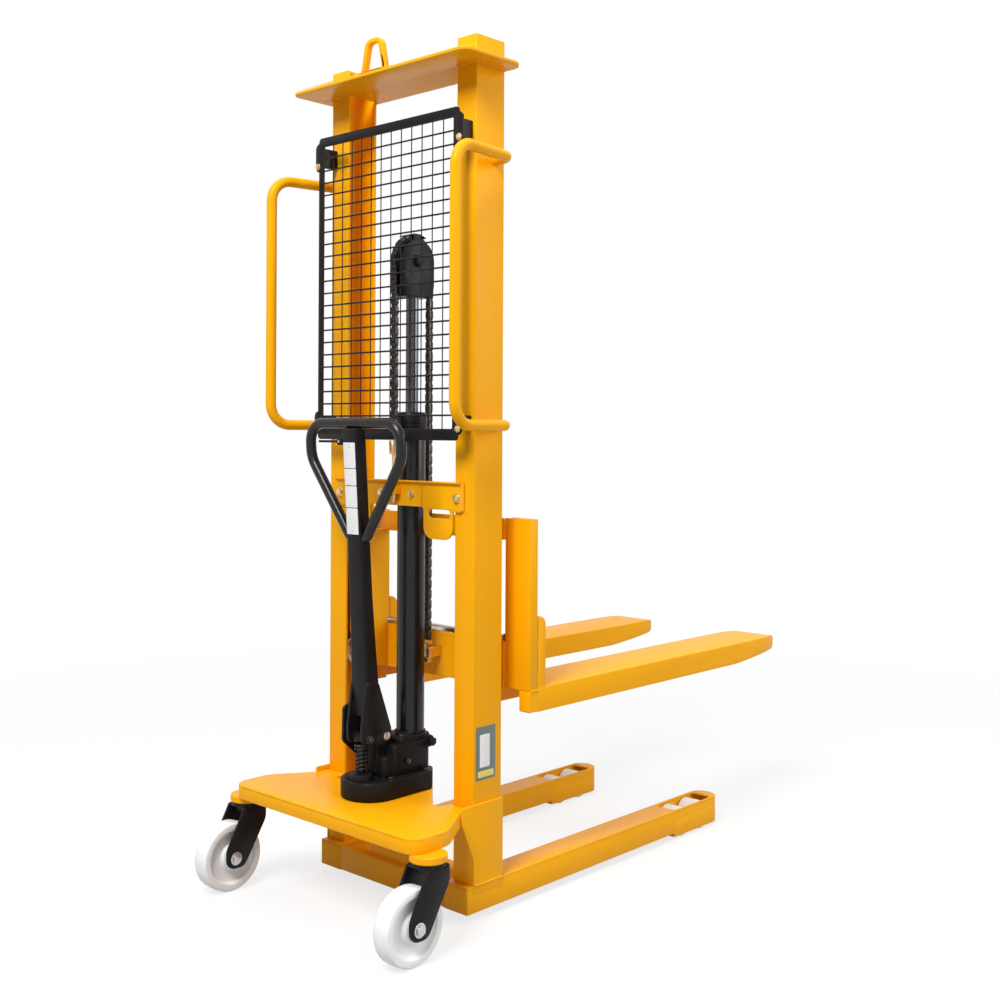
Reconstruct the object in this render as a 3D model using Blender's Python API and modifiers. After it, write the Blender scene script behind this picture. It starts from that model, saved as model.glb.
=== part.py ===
"""Hand-pumped walkie stacker: a fixed two-channel mast on straddle legs, a chain-lifted fork carriage,
a hydraulic ram with its hand pump and tiller, two swivel castors and four load rollers.

Metres, +Z up, +Y towards the fork tips, +X to the machine's right.  Lengths below are measured from the
mast's rear face (y = 0), its middle plane (x = 0) and the floor (z = 0); one empty then carries the whole
machine so that the frame's origin lies on the floor under the middle of its outline.
"""
from math import atan2, cos, pi, radians, sin, tan

import bmesh
import bpy
from mathutils import Matrix, Vector

GAP = 0.0003            # clearance between pieces that seat on each other

# Mast: two channels that open inwards
MAST_HALF = 0.247       # outer face of a channel
MAST_DEPTH = 0.093
MAST_TOP = 1.966
FLANGE = 0.060
WEB_WALL = 0.007
FLANGE_WALL = 0.009

# Top plate and lifting eye
TOP_PLATE_Z = 1.903
TOP_PLATE_WALL = 0.008
TOP_PLATE_HALF = 0.298
TOP_PLATE_REAR = -0.088
TOP_PLATE_FRONT = 0.105
EYE_HALF = 0.042
EYE_HEIGHT = 0.075
EYE_BAR = 0.011

# Straddle legs and their load rollers
LEG_TOP = 0.079
LEG_BOTTOM = 0.019
LEG_HEAD = 0.220            # length of the deeper roller box at the tip
LEG_HEAD_DROP = 0.010
LEG_OUTER = 0.251
LEG_INNER = 0.176
LEG_REAR = -0.020
LEG_TIP = 0.990
LEG_WALL = 0.006
ROLLER_RADIUS = 0.037
ROLLER_WIDTH = 0.056
ROLLER_PITCH = 0.086
ROLLER_FROM_TIP = 0.125     # middle of the roller pair, back from the leg's tip
ROLLER_PIN = 0.008

# Chassis: cross beam, side cheeks, deck
BEAM_FRONT = 0.096
SUPPORT_HALF = 0.082
SUPPORT_FRONT = 0.018
CHEEK_WALL = 0.005
WHEEL_RADIUS = 0.080
BOSS_BOTTOM = 2 * WHEEL_RADIUS + 0.040      # leaves room over the wheel for the fork's crown
DECK_BOTTOM = BOSS_BOTTOM + 0.016
DECK_TOP = DECK_BOTTOM + 0.033
CHEEK_TOP = DECK_TOP + 0.010
DECK_HALF = 0.312
DECK_REAR = -0.240
DECK_WALL = 0.008
SKIRT_WALL = 0.006
TONGUE_FRONT = 0.0815
TONGUE_HALF = 0.066
TONGUE_NECK = 0.052
TONGUE_ROOT = 0.170
NOTCH_REAR = -0.046

# Castors
CASTER_X = 0.311
CASTER_Y = -0.198
CASTER_TRAIL = 0.055
WHEEL_WIDTH = 0.046
ARM_WALL = 0.006
BOSS_RADIUS = 0.040

# Ram, crosshead and chain
RAM_Y = 0.042
TUBE_RADIUS = 0.033
TUBE_BORE = 0.026
ROD_RADIUS = 0.015
TUBE_TOP = 1.085
GLAND_TOP = 1.130
GLAND_RADIUS = 0.037
PUMP_TOP = DECK_TOP + 0.127
STEP_TOP = DECK_TOP + 0.092
SHEAVE_Z = 1.486
CHAIN_INNER = 0.050     # radius of the chain's inner edge on the sheave
CHAIN_DEPTH = 0.012
CHAIN_HALF = 0.008
PLATE_X = 0.014         # inner face of a crosshead plate
PLATE_WALL = 0.008
REAR_ANCHOR_Z = 1.063
FRONT_ANCHOR_Z = 0.583

# Tie between the channels
TIE_TOP = 0.969
TIE_BOTTOM = 0.911
TIE_WALL = 0.006
TIE_HALF = 0.215
BRACKET_BOTTOM = 0.839

# Guard and push handles
GUARD_HALF = 0.239
GUARD_BOTTOM = 1.064
GUARD_TOP = 1.797
GUARD_Y = -0.045
GUARD_WALL = 0.006
GUARD_BAR = 0.016
GUARD_TOP_BAR = 0.022
GUARD_LOW_BAR = 0.026
HANDLE_TUBE = 0.0125
HANDLE_X = 0.315
HANDLE_Y = -0.132
HANDLE_TOP = 1.696
HANDLE_BOTTOM = 1.098
HANDLE_SEAT_Y = 0.066

# Carriage and forks
SIDE_PLATE_X = 0.176    # inner face of a roller plate
SIDE_PLATE_WALL = 0.008
CARRIAGE_BOTTOM = 0.494
CARRIAGE_TOP = 0.885
CROSS_Y = 0.131
CROSS_WALL = 0.008
CROSS_HALF = 0.262
CROSS_LOW_TOP = 0.601
CROSS_HIGH_BOTTOM = 0.835
UPRIGHT_OUTER = 0.290
UPRIGHT_WIDTH = 0.077
UPRIGHT_DEPTH = 0.029
UPRIGHT_WALL = 0.006
GUIDE_RADIUS = 0.0365
GUIDE_WIDTH = 0.028
GUIDE_X = 0.196         # inner face of a guide roller
GUIDE_LOW_Z = 0.545
GUIDE_HIGH_Z = 0.800
STUB_RADIUS = 0.012
FORK_TOP = 0.499
FORK_BOTTOM = 0.444
FORK_OUTER = 0.290
FORK_INNER = 0.143
FORK_TIP = 1.225
FORK_WALL = 0.006
FORK_TOP_WALL = 0.008
FORK_TAPER = 0.210
HEEL_TOP = 0.662
HEEL_DEPTH = 0.028
HEEL_INNER = 0.258         # the heel's lug stays outside the leg's outer face

# Pump block, tiller and release
BLOCK_HALF = 0.056
FOOT_HALF = 0.069
PLUNGER_Y = -0.110
PIVOT_Y = -0.058
PIVOT_Z = DECK_TOP + 0.136
PIN_RADIUS = 0.007
LUG_HALF = 0.0195
BARREL_TOP = DECK_TOP + 0.057
PLUNGER_LOW = DECK_TOP + 0.047
CAP_TOP = DECK_TOP + 0.123
SPINE_HALF = 0.025
SPINE_DEPTH = 0.032
SPINE_FOOT_Y = -0.092
SPINE_HEAD_Y = -0.1385
SPINE_TOP = 1.089
LOOP_TOP = 1.102
LOOP_HALF = 0.158
LOOP_SHOULDER = 1.020
LOOP_FOOT = 0.826
LOOP_TUBE = 0.012
LEVER_Z = 1.060
LEVER_X = -0.040
LEVER_TIP = -(LOOP_HALF - 2 * LOOP_TUBE - 0.012)
RELEASE_ROD_X = -0.017
ARM_PIVOT_Z = DECK_TOP + 0.086

# Outer length: castor at the rear, fork tip in front
REAR_END = CASTER_Y - CASTER_TRAIL - WHEEL_RADIUS
DATUM_Y = -(REAR_END + FORK_TIP) / 2

YELLOW = ("yellow_paint", (0.96, 0.50, 0.012), 0.42, 0.0)
BLACK = ("black_paint", (0.020, 0.018, 0.020), 0.45, 0.0)
STEEL = ("bright_steel", (0.62, 0.62, 0.64), 0.28, 1.0)
NYLON = ("white_nylon", (0.86, 0.86, 0.84), 0.45, 0.0)
CHAIN = ("oiled_chain", (0.11, 0.11, 0.12), 0.40, 1.0)
ZINC = ("brass_zinc", (0.60, 0.48, 0.22), 0.35, 1.0)


def start_scene():
    """Remove every object and give the parts and the cutters a collection each."""
    for thing in list(bpy.data.objects):
        bpy.data.objects.remove(thing)
    parts = bpy.data.collections.new("walkie_stacker")
    cutters = bpy.data.collections.new("cutters")
    bpy.context.scene.collection.children.link(parts)
    bpy.context.scene.collection.children.link(cutters)
    return parts, cutters


PARTS, CUTTERS = start_scene()


def finish(recipe):
    """The Principled material of a finish, made once."""
    name, colour, roughness, metallic = recipe
    material = bpy.data.materials.get(name)
    if material is None:
        material = bpy.data.materials.new(name)
        material.use_nodes = True
        shader = material.node_tree.nodes["Principled BSDF"]
        shader.inputs["Base Color"].default_value = (*colour, 1.0)
        shader.inputs["Roughness"].default_value = roughness
        shader.inputs["Metallic"].default_value = metallic
    return material


def pivot(name, place, parent=None):
    """An empty on a joint's axis; place is in machine coordinates."""
    empty = bpy.data.objects.new(name, None)
    empty.empty_display_size = 0.05
    PARTS.objects.link(empty)
    empty["place"] = place
    base = Vector(parent["place"]) if parent else Vector((0, 0, 0))
    empty.parent = parent
    empty.location = Vector(place) - base
    return empty


DATUM = pivot("stacker_datum", (0, 0, 0))
DATUM.location = (0, DATUM_Y, 0)


def add(name, mesh, recipe, carrier=None):
    """Make a part of a mesh drawn in machine coordinates and hang it on its carrier."""
    part = bpy.data.objects.new(name, mesh)
    PARTS.objects.link(part)
    mesh.materials.clear()
    mesh.materials.append(finish(recipe))
    mesh.shade_smooth()
    mesh.set_sharp_from_angle(angle=radians(35))
    carrier = carrier or DATUM
    part.parent = carrier
    part.location = -Vector(carrier["place"])
    return part


def combine(part, mesh, operation, name):
    """Cut a mesh out of a part, or weld it on; both are in machine coordinates."""
    tool = bpy.data.objects.new(name, mesh)
    CUTTERS.objects.link(tool)
    tool.hide_render = True
    tool.display_type = "WIRE"
    tool.parent = part.parent
    tool.location = part.location
    boolean = part.modifiers.new(name, "BOOLEAN")
    boolean.operation = operation
    boolean.object = tool


def cut(part, *meshes):
    for number, mesh in enumerate(meshes, 1):
        combine(part, mesh, "DIFFERENCE", f"{part.name}_cut_{len(part.modifiers)}_{number}")


def weld(part, *meshes):
    for number, mesh in enumerate(meshes, 1):
        combine(part, mesh, "UNION", f"{part.name}_weld_{len(part.modifiers)}_{number}")


def block(low, high):
    """A box between two corners."""
    body = bmesh.new()
    bmesh.ops.create_cube(body, size=1)
    size = Vector(high) - Vector(low)
    bmesh.ops.scale(body, vec=size, verts=body.verts)
    bmesh.ops.translate(body, vec=Vector(low) + size / 2, verts=body.verts)
    mesh = bpy.data.meshes.new("block")
    body.to_mesh(mesh)
    body.free()
    return mesh


TURNS = {"X": Matrix.Rotation(pi / 2, 4, "Y"), "Y": Matrix.Rotation(-pi / 2, 4, "X"), "Z": Matrix.Identity(4)}


def rod(radius, start, length, axis, sides=28):
    """A solid cylinder from start along +axis."""
    body = bmesh.new()
    bmesh.ops.create_cone(
        body, cap_ends=True, segments=sides, radius1=radius, radius2=radius, depth=length,
        matrix=Matrix.Translation((0, 0, length / 2)))
    mesh = bpy.data.meshes.new("rod")
    body.to_mesh(mesh)
    body.free()
    mesh.transform(Matrix.Translation(start) @ TURNS[axis])
    return mesh


def turned(profile, centre, axis, sides=32):
    """A ring or disc: (radius, along) points, outer side first, turned about the axis."""
    mesh = bpy.data.meshes.new("profile")
    points = [(radius, 0, along) for radius, along in profile]
    closed = profile[0][0] > 0 and profile[-1][0] > 0
    count = len(points)
    edges = [(i, (i + 1) % count) for i in range(count if closed else count - 1)]
    mesh.from_pydata(points, edges, [])
    shape = bpy.data.objects.new("profile", mesh)
    bpy.context.scene.collection.objects.link(shape)
    screw = shape.modifiers.new("turn", "SCREW")
    screw.steps = sides
    screw.render_steps = sides
    screw.use_merge_vertices = True
    screw.merge_threshold = 0.00001
    result = baked(shape)
    result.transform(Matrix.Translation(centre) @ TURNS[axis])
    return outward(result)


def baked(shape):
    """The evaluated, welded mesh of a helper object, which is then removed."""
    bpy.context.view_layer.update()
    evaluated = shape.evaluated_get(bpy.context.evaluated_depsgraph_get())
    mesh = bpy.data.meshes.new_from_object(evaluated)
    mesh.transform(shape.matrix_world)
    bpy.data.objects.remove(shape)
    body = bmesh.new()
    body.from_mesh(mesh)
    bmesh.ops.remove_doubles(body, verts=body.verts, dist=0.00001)
    body.to_mesh(mesh)
    body.free()
    return mesh


def outward(mesh):
    """Turn every face of a closed mesh outwards."""
    body = bmesh.new()
    body.from_mesh(mesh)
    bmesh.ops.recalc_face_normals(body, faces=body.faces)
    body.to_mesh(mesh)
    body.free()
    return mesh


def rounded(corners, steps=4):
    """An outline of (u, v, radius) corners with each corner rounded by its radius."""
    points = []
    count = len(corners)
    for index, (u, v, radius) in enumerate(corners):
        corner = Vector((u, v))
        if not radius:
            points.append(corner)
            continue
        before = (Vector(corners[index - 1][:2]) - corner).normalized()
        after = (Vector(corners[(index + 1) % count][:2]) - corner).normalized()
        half = before.angle(after) / 2
        centre = corner + (before + after).normalized() * radius / sin(half)
        first = corner + before * radius / tan(half) - centre
        last = corner + after * radius / tan(half) - centre
        start = atan2(first.y, first.x)
        sweep = (atan2(last.y, last.x) - start + pi) % (2 * pi) - pi
        for step in range(steps + 1):
            angle = start + sweep * step / steps
            points.append(centre + Vector((cos(angle), sin(angle))) * radius)
    return points


def inset(corners, wall):
    """The same corners moved inwards by a wall; the outline runs anticlockwise."""
    moved = []
    count = len(corners)
    for index, (u, v, radius) in enumerate(corners):
        corner = Vector((u, v))
        before = (corner - Vector(corners[index - 1][:2])).normalized()
        after = (Vector(corners[(index + 1) % count][:2]) - corner).normalized()
        into = Vector((-before.y, before.x)) + Vector((-after.y, after.x))
        scale = wall / (1 + before.dot(after))
        moved.append((*(corner + into * scale), max(radius - 0.8 * wall, 0)))
    return moved


def circle(centre, radius, sides=24):
    """Points of a round hole or edge in an outline."""
    return [Vector((centre[0] + radius * cos(2 * pi * i / sides), centre[1] + radius * sin(2 * pi * i / sides)))
            for i in range(sides)]


FACES = {
    "X": Matrix(((0, 0, 1, 0), (1, 0, 0, 0), (0, 1, 0, 0), (0, 0, 0, 1))),
    "Y": Matrix(((1, 0, 0, 0), (0, 0, -1, 0), (0, 1, 0, 0), (0, 0, 0, 1))),
    "Z": Matrix.Identity(4),
}


def sheet(outlines, low, high, axis):
    """A plate between two planes across an axis: the first outline, less the others as holes.

    Outlines are (y, z) across X, (x, z) across Y and (x, y) across Z.
    """
    curve = bpy.data.curves.new("outline", "CURVE")
    curve.dimensions = "2D"
    curve.fill_mode = "BOTH"
    curve.extrude = (high - low) / 2
    for outline in outlines:
        spline = curve.splines.new("POLY")
        spline.points.add(len(outline) - 1)
        for point, place in zip(spline.points, outline):
            point.co = (place[0], place[1], 0, 1)
        spline.use_cyclic_u = True
    shape = bpy.data.objects.new("outline", curve)
    bpy.context.scene.collection.objects.link(shape)
    mesh = baked(shape)
    mesh.transform(FACES[axis])
    middle = (low + high) / 2
    mesh.transform(Matrix.Translation(Vector((middle if axis == name else 0 for name in "XYZ"))))
    return outward(mesh)


def bent(points, radii, steps=5):
    """A route through points in space with each inner corner rounded by its radius."""
    route = [Vector(points[0])]
    for index, radius in enumerate(radii, 1):
        corner = Vector(points[index])
        before = (Vector(points[index - 1]) - corner).normalized()
        after = (Vector(points[index + 1]) - corner).normalized()
        half = before.angle(after) / 2
        centre = corner + (before + after).normalized() * radius / sin(half)
        first = corner + before * radius / tan(half) - centre
        last = corner + after * radius / tan(half) - centre
        sweep = first.angle(last)
        for step in range(steps + 1):
            angle = sweep * step / steps
            blend = first * sin(sweep - angle) / sin(sweep) + last * sin(angle) / sin(sweep)
            route.append(centre + blend)
    route.append(Vector(points[-1]))
    return route


def pipe(route, radius, resolution=2):
    """A round bar along a route, with flat ends."""
    curve = bpy.data.curves.new("pipe", "CURVE")
    curve.dimensions = "3D"
    curve.bevel_depth = radius
    curve.bevel_resolution = resolution
    curve.use_fill_caps = True
    spline = curve.splines.new("POLY")
    spline.points.add(len(route) - 1)
    for point, place in zip(spline.points, route):
        point.co = (*place, 1)
    shape = bpy.data.objects.new("pipe", curve)
    bpy.context.scene.collection.objects.link(shape)
    return outward(baked(shape))


def span(side, inner, outer):
    """The low and high x of a piece that reaches from inner to outer on one side of the machine."""
    return (inner, outer) if side > 0 else (-outer, -inner)


SIDES = (("left", -1), ("right", 1))


# --- Mast --------------------------------------------------------------------------------------------
def channel(name, side):
    """One mast channel, open towards the machine's middle."""
    inner = MAST_HALF - FLANGE
    web = MAST_HALF - WEB_WALL
    outline = [
        (MAST_HALF, 0), (MAST_HALF, MAST_DEPTH), (inner, MAST_DEPTH), (inner, MAST_DEPTH - FLANGE_WALL),
        (web, MAST_DEPTH - FLANGE_WALL), (web, FLANGE_WALL), (inner, FLANGE_WALL), (inner, 0)]
    add(f"mast_channel_{name}", sheet([[(side * x, y) for x, y in outline]], LEG_TOP + GAP, MAST_TOP, "Z"), YELLOW)


def mast_head():
    """Top plate with the channels standing through it, and the lifting eye on its rear edge."""
    corners = [
        (-TOP_PLATE_HALF, TOP_PLATE_REAR, 0.024), (TOP_PLATE_HALF, TOP_PLATE_REAR, 0.024),
        (TOP_PLATE_HALF, TOP_PLATE_FRONT, 0.035), (-TOP_PLATE_HALF, TOP_PLATE_FRONT, 0.035)]
    plate = add("mast_top_plate", sheet([rounded(corners)], TOP_PLATE_Z, TOP_PLATE_Z + TOP_PLATE_WALL, "Z"), YELLOW)
    for _, side in SIDES:
        low, high = span(side, MAST_HALF - FLANGE - GAP, MAST_HALF + GAP)
        cut(plate, block((low, -GAP, TOP_PLATE_Z - 0.01), (high, MAST_DEPTH + GAP, TOP_PLATE_Z + 0.02)))
    base = TOP_PLATE_Z + TOP_PLATE_WALL + GAP
    top = base + EYE_HEIGHT
    outer = [(-EYE_HALF, base, 0), (EYE_HALF, base, 0), (EYE_HALF, top, EYE_HALF * 0.95),
             (-EYE_HALF, top, EYE_HALF * 0.95)]
    inner = EYE_HALF - EYE_BAR
    hole = [(-inner, base + EYE_BAR, 0.004), (inner, base + EYE_BAR, 0.004), (inner, top - EYE_BAR, inner * 0.95),
            (-inner, top - EYE_BAR, inner * 0.95)]
    add("lifting_eye", sheet([rounded(outer, 8), rounded(hole, 8)], TOP_PLATE_REAR + 0.004,
                             TOP_PLATE_REAR + 0.014, "Y"), YELLOW)


def mast_tie():
    """Flat tie across the channels' rear faces, with its brackets and the chain's fixed lug."""
    inner = MAST_HALF - FLANGE
    reach = inner - 0.096
    half = [
        (TIE_HALF, TIE_TOP, 0), (TIE_HALF, TIE_BOTTOM - 0.008, 0.006), (inner - 0.002, TIE_BOTTOM - 0.008, 0),
        (inner - 0.002, BRACKET_BOTTOM, 0.026), (reach, BRACKET_BOTTOM, 0.026), (reach, TIE_BOTTOM, 0.006)]
    corners = half + [(-x, z, radius) for x, z, radius in reversed(half)]
    slots = []
    for _, side in SIDES:
        low, high = span(side, reach + 0.016, inner - 0.012)
        slots.append(rounded([(low, TIE_BOTTOM - 0.022, 0.0085), (high, TIE_BOTTOM - 0.022, 0.0085),
                              (high, TIE_BOTTOM - 0.004, 0.0085), (low, TIE_BOTTOM - 0.004, 0.0085)]))
    tie = add("mast_tie", sheet([rounded(corners), *slots], -TIE_WALL - GAP, -GAP, "Y"), YELLOW)
    chain_y = RAM_Y - CHAIN_INNER - CHAIN_DEPTH / 2
    weld(tie, block((-0.016, chain_y - 0.014, 0.938), (0.016, -0.002, 0.958)))
    cut(tie, rod(0.0053, (0, chain_y, 0.92), 0.06, "Z", 20))
    seat = TUBE_RADIUS + 2 * GAP
    strap = seat + 0.008
    ear = strap + 0.020
    outline = [Vector((ear, 0)), Vector((ear, 0.008)), Vector((strap, 0.008))]
    outline += [Vector((strap * cos(pi * i / 12), RAM_Y + strap * sin(pi * i / 12))) for i in range(13)]
    outline += [Vector((-strap, 0.008)), Vector((-ear, 0.008)), Vector((-ear, 0)), Vector((-seat, 0))]
    outline += [Vector((-seat * cos(pi * i / 12), RAM_Y + seat * sin(pi * i / 12))) for i in range(13)]
    outline += [Vector((seat, 0))]
    add("cylinder_clamp", sheet([outline], TIE_BOTTOM + 0.009, TIE_TOP - 0.009, "Z"), YELLOW)


def guard():
    """Black steel frame with its wire mesh, on four stand-off blocks behind the channels."""
    outer = rounded([(-GUARD_HALF, GUARD_BOTTOM, 0.008), (GUARD_HALF, GUARD_BOTTOM, 0.008),
                     (GUARD_HALF, GUARD_TOP, 0.008), (-GUARD_HALF, GUARD_TOP, 0.008)], 3)
    clear = GUARD_HALF - GUARD_BAR
    low = GUARD_BOTTOM + GUARD_LOW_BAR
    high = GUARD_TOP - GUARD_TOP_BAR
    inner = rounded([(-clear, low, 0), (clear, low, 0), (clear, high, 0), (-clear, high, 0)])
    frame = add("guard_frame", sheet([outer, inner], GUARD_Y - GUARD_WALL / 2, GUARD_Y + GUARD_WALL / 2, "Y"), BLACK)
    for _, side in SIDES:
        left, right = span(side, MAST_HALF - FLANGE + 0.038, GUARD_HALF - 0.001)
        weld(frame,
             block((left, GUARD_Y, GUARD_TOP - 0.070), (right, -GAP, GUARD_TOP - 0.024)),
             block((left, GUARD_Y, GUARD_BOTTOM + 0.020), (right, -GAP, GUARD_BOTTOM + 0.060)))
    columns = 6
    rows = 9
    wire = 0.004
    body = bmesh.new()
    bmesh.ops.create_grid(body, x_segments=columns, y_segments=rows, size=1)
    bmesh.ops.scale(body, vec=(clear - GAP, (high - low) / 2 - GAP, 1), verts=body.verts)
    cells = list(body.faces)
    bmesh.ops.inset_individual(body, faces=cells, thickness=wire / 2, use_even_offset=True)
    bmesh.ops.delete(body, geom=cells, context="FACES_ONLY")
    mesh = bpy.data.meshes.new("lattice")
    body.to_mesh(mesh)
    body.free()
    shape = bpy.data.objects.new("lattice", mesh)
    bpy.context.scene.collection.objects.link(shape)
    solidify = shape.modifiers.new("wire", "SOLIDIFY")
    solidify.thickness = wire
    solidify.offset = 0
    lattice = baked(shape)
    lattice.transform(Matrix.Translation((0, GUARD_Y, (low + high) / 2)) @ FACES["Y"])
    add("guard_mesh", outward(lattice), BLACK)


def push_handle(name, side):
    """Bent-tube push handle on the outer face of a channel."""
    seat = MAST_HALF + GAP
    knee = HANDLE_X - 0.030
    route = bent(
        [(side * seat, HANDLE_SEAT_Y, HANDLE_TOP), (side * knee, HANDLE_SEAT_Y, HANDLE_TOP),
         (side * HANDLE_X, HANDLE_Y, HANDLE_TOP), (side * HANDLE_X, HANDLE_Y, HANDLE_BOTTOM),
         (side * knee, HANDLE_SEAT_Y, HANDLE_BOTTOM), (side * seat, HANDLE_SEAT_Y, HANDLE_BOTTOM)],
        [0.022, 0.045, 0.045, 0.022])
    add(f"push_handle_{name}", pipe(route, HANDLE_TUBE), YELLOW)


# --- Chassis -----------------------------------------------------------------------------------------
def leg(name, side):
    """Straddle leg: an inverted channel with a rounded roller box at its tip and a side cheek."""
    middle = (LEG_INNER + LEG_OUTER) / 2
    half = (LEG_OUTER - LEG_INNER) / 2

    def plan(wall):
        nose = half - wall
        return rounded([(side * (middle - nose), LEG_REAR + wall, 0), (side * (middle + nose), LEG_REAR + wall, 0),
                        (side * (middle + nose), LEG_TIP - wall, nose * 0.98),
                        (side * (middle - nose), LEG_TIP - wall, nose * 0.98)], 7)
    part = add(f"outrigger_leg_{name}", sheet([plan(0)], LEG_BOTTOM, LEG_TOP, "Z"), YELLOW)
    head_start = LEG_TIP - LEG_HEAD
    head = rounded([(side * (middle - half), head_start, 0), (side * (middle + half), head_start, 0),
                    (side * (middle + half), LEG_TIP, half * 0.98), (side * (middle - half), LEG_TIP, half * 0.98)], 7)
    weld(part, sheet([head], LEG_BOTTOM - LEG_HEAD_DROP, LEG_BOTTOM + 0.02, "Z"))
    cheek = [(LEG_REAR - 0.018, CHEEK_TOP), (LEG_REAR - 0.018, CHEEK_TOP - 0.035), (-0.001, 0.135), (0.0, LEG_TOP - 0.02),
             (MAST_DEPTH, LEG_TOP - 0.02), (MAST_DEPTH, CHEEK_TOP)]
    low, high = span(side, MAST_HALF + GAP, MAST_HALF + GAP + CHEEK_WALL)
    weld(part, sheet([cheek], low, high, "X"))
    cut(part, sheet([plan(LEG_WALL)], LEG_BOTTOM - LEG_HEAD_DROP - 0.01, LEG_TOP - LEG_WALL, "Z"))
    centre = LEG_TIP - ROLLER_FROM_TIP
    slot = ROLLER_WIDTH / 2 + 0.0025
    reach = ROLLER_PITCH / 2 + ROLLER_RADIUS + 0.003
    opening = rounded([(side * middle - slot, centre - reach, 0.012), (side * middle + slot, centre - reach, 0.012),
                       (side * middle + slot, centre + reach, 0.012), (side * middle - slot, centre + reach, 0.012)], 4)
    cut(part, sheet([opening], LEG_TOP - 0.03, LEG_TOP + 0.01, "Z"))
    for number, offset in enumerate((-ROLLER_PITCH / 2, ROLLER_PITCH / 2), 1):
        y = centre + offset
        cut(part, rod(ROLLER_PIN + GAP, (side * middle - half - 0.01, y, ROLLER_RADIUS), 2 * half + 0.02, "X", 20))
        hub = pivot(f"load_roller_{name}_{number}_axis", (side * middle, y, ROLLER_RADIUS), DATUM)
        edge = ROLLER_WIDTH / 2
        bore = ROLLER_PIN + GAP
        profile = [(ROLLER_RADIUS - 0.003, edge), (ROLLER_RADIUS, edge - 0.003), (ROLLER_RADIUS, -edge + 0.003),
                   (ROLLER_RADIUS - 0.003, -edge), (bore, -edge), (bore, edge)]
        add(f"load_roller_{name}_{number}", turned(profile, (side * middle, y, ROLLER_RADIUS), "X", 28), NYLON, hub)
        add(f"roller_pin_{name}_{number}",
            rod(ROLLER_PIN, (side * middle - half - 0.001, y, ROLLER_RADIUS), 2 * half + 0.002, "X", 20), STEEL)


def chassis():
    """Cross beam between the legs with the pump's support, and the deck with its castor bosses."""
    inner = LEG_INNER - GAP
    beam = add("chassis_beam", block((-inner, LEG_REAR, LEG_BOTTOM), (inner, BEAM_FRONT, LEG_TOP)), YELLOW)
    wall = LEG_WALL
    cut(beam, block((-inner - 0.01, LEG_REAR + wall, LEG_BOTTOM - 0.01), (inner + 0.01, BEAM_FRONT - wall, LEG_TOP - wall)))
    narrow = SUPPORT_HALF - wall
    support = [(-SUPPORT_HALF, -0.008), (SUPPORT_HALF, -0.008), (SUPPORT_HALF, SUPPORT_FRONT), (narrow, SUPPORT_FRONT),
               (narrow, -0.008 + wall), (-narrow, -0.008 + wall), (-narrow, SUPPORT_FRONT), (-SUPPORT_HALF, SUPPORT_FRONT)]
    weld(beam, sheet([support], LEG_TOP - 0.003, DECK_TOP - DECK_WALL - 0.0008, "Z"))

    right = [(DECK_HALF, DECK_REAR, 0.034), (DECK_HALF, CASTER_Y + 0.060, 0.050), (MAST_HALF, -0.040, 0),
             (MAST_HALF, -GAP, 0), (TONGUE_ROOT + 0.012, -GAP, 0), (TONGUE_ROOT, NOTCH_REAR, 0)]
    outline = right + [(-x, y, radius) for x, y, radius in reversed(right)]
    deck = add("deck_plate", sheet([rounded(outline)], DECK_BOTTOM, DECK_TOP, "Z"), YELLOW)
    root = NOTCH_REAR - SKIRT_WALL
    near = [(TONGUE_ROOT - 0.004, root, 0), (TONGUE_HALF, TONGUE_NECK, 0), (TONGUE_HALF - 0.028, TONGUE_FRONT, 0.006)]
    tongue = near + [(-x, y, radius) for x, y, radius in reversed(near)]
    weld(deck, sheet([rounded(tongue)], DECK_BOTTOM + 0.002, DECK_TOP - 0.001, "Z"))
    ceiling = DECK_TOP - DECK_WALL
    cut(deck, sheet([rounded(inset(outline, SKIRT_WALL))], DECK_BOTTOM - 0.01, ceiling, "Z"),
        sheet([rounded(inset(tongue, SKIRT_WALL))], DECK_BOTTOM - 0.01, ceiling - 0.0005, "Z"))
    for _, side in SIDES:
        boss = rod(BOSS_RADIUS, (side * CASTER_X, CASTER_Y, BOSS_BOTTOM), DECK_TOP - 0.004 - BOSS_BOTTOM, "Z")
        weld(deck, boss)
        cut(deck, rod(0.0103, (side * CASTER_X, CASTER_Y, BOSS_BOTTOM - 0.01), 0.046, "Z", 20))


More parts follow.
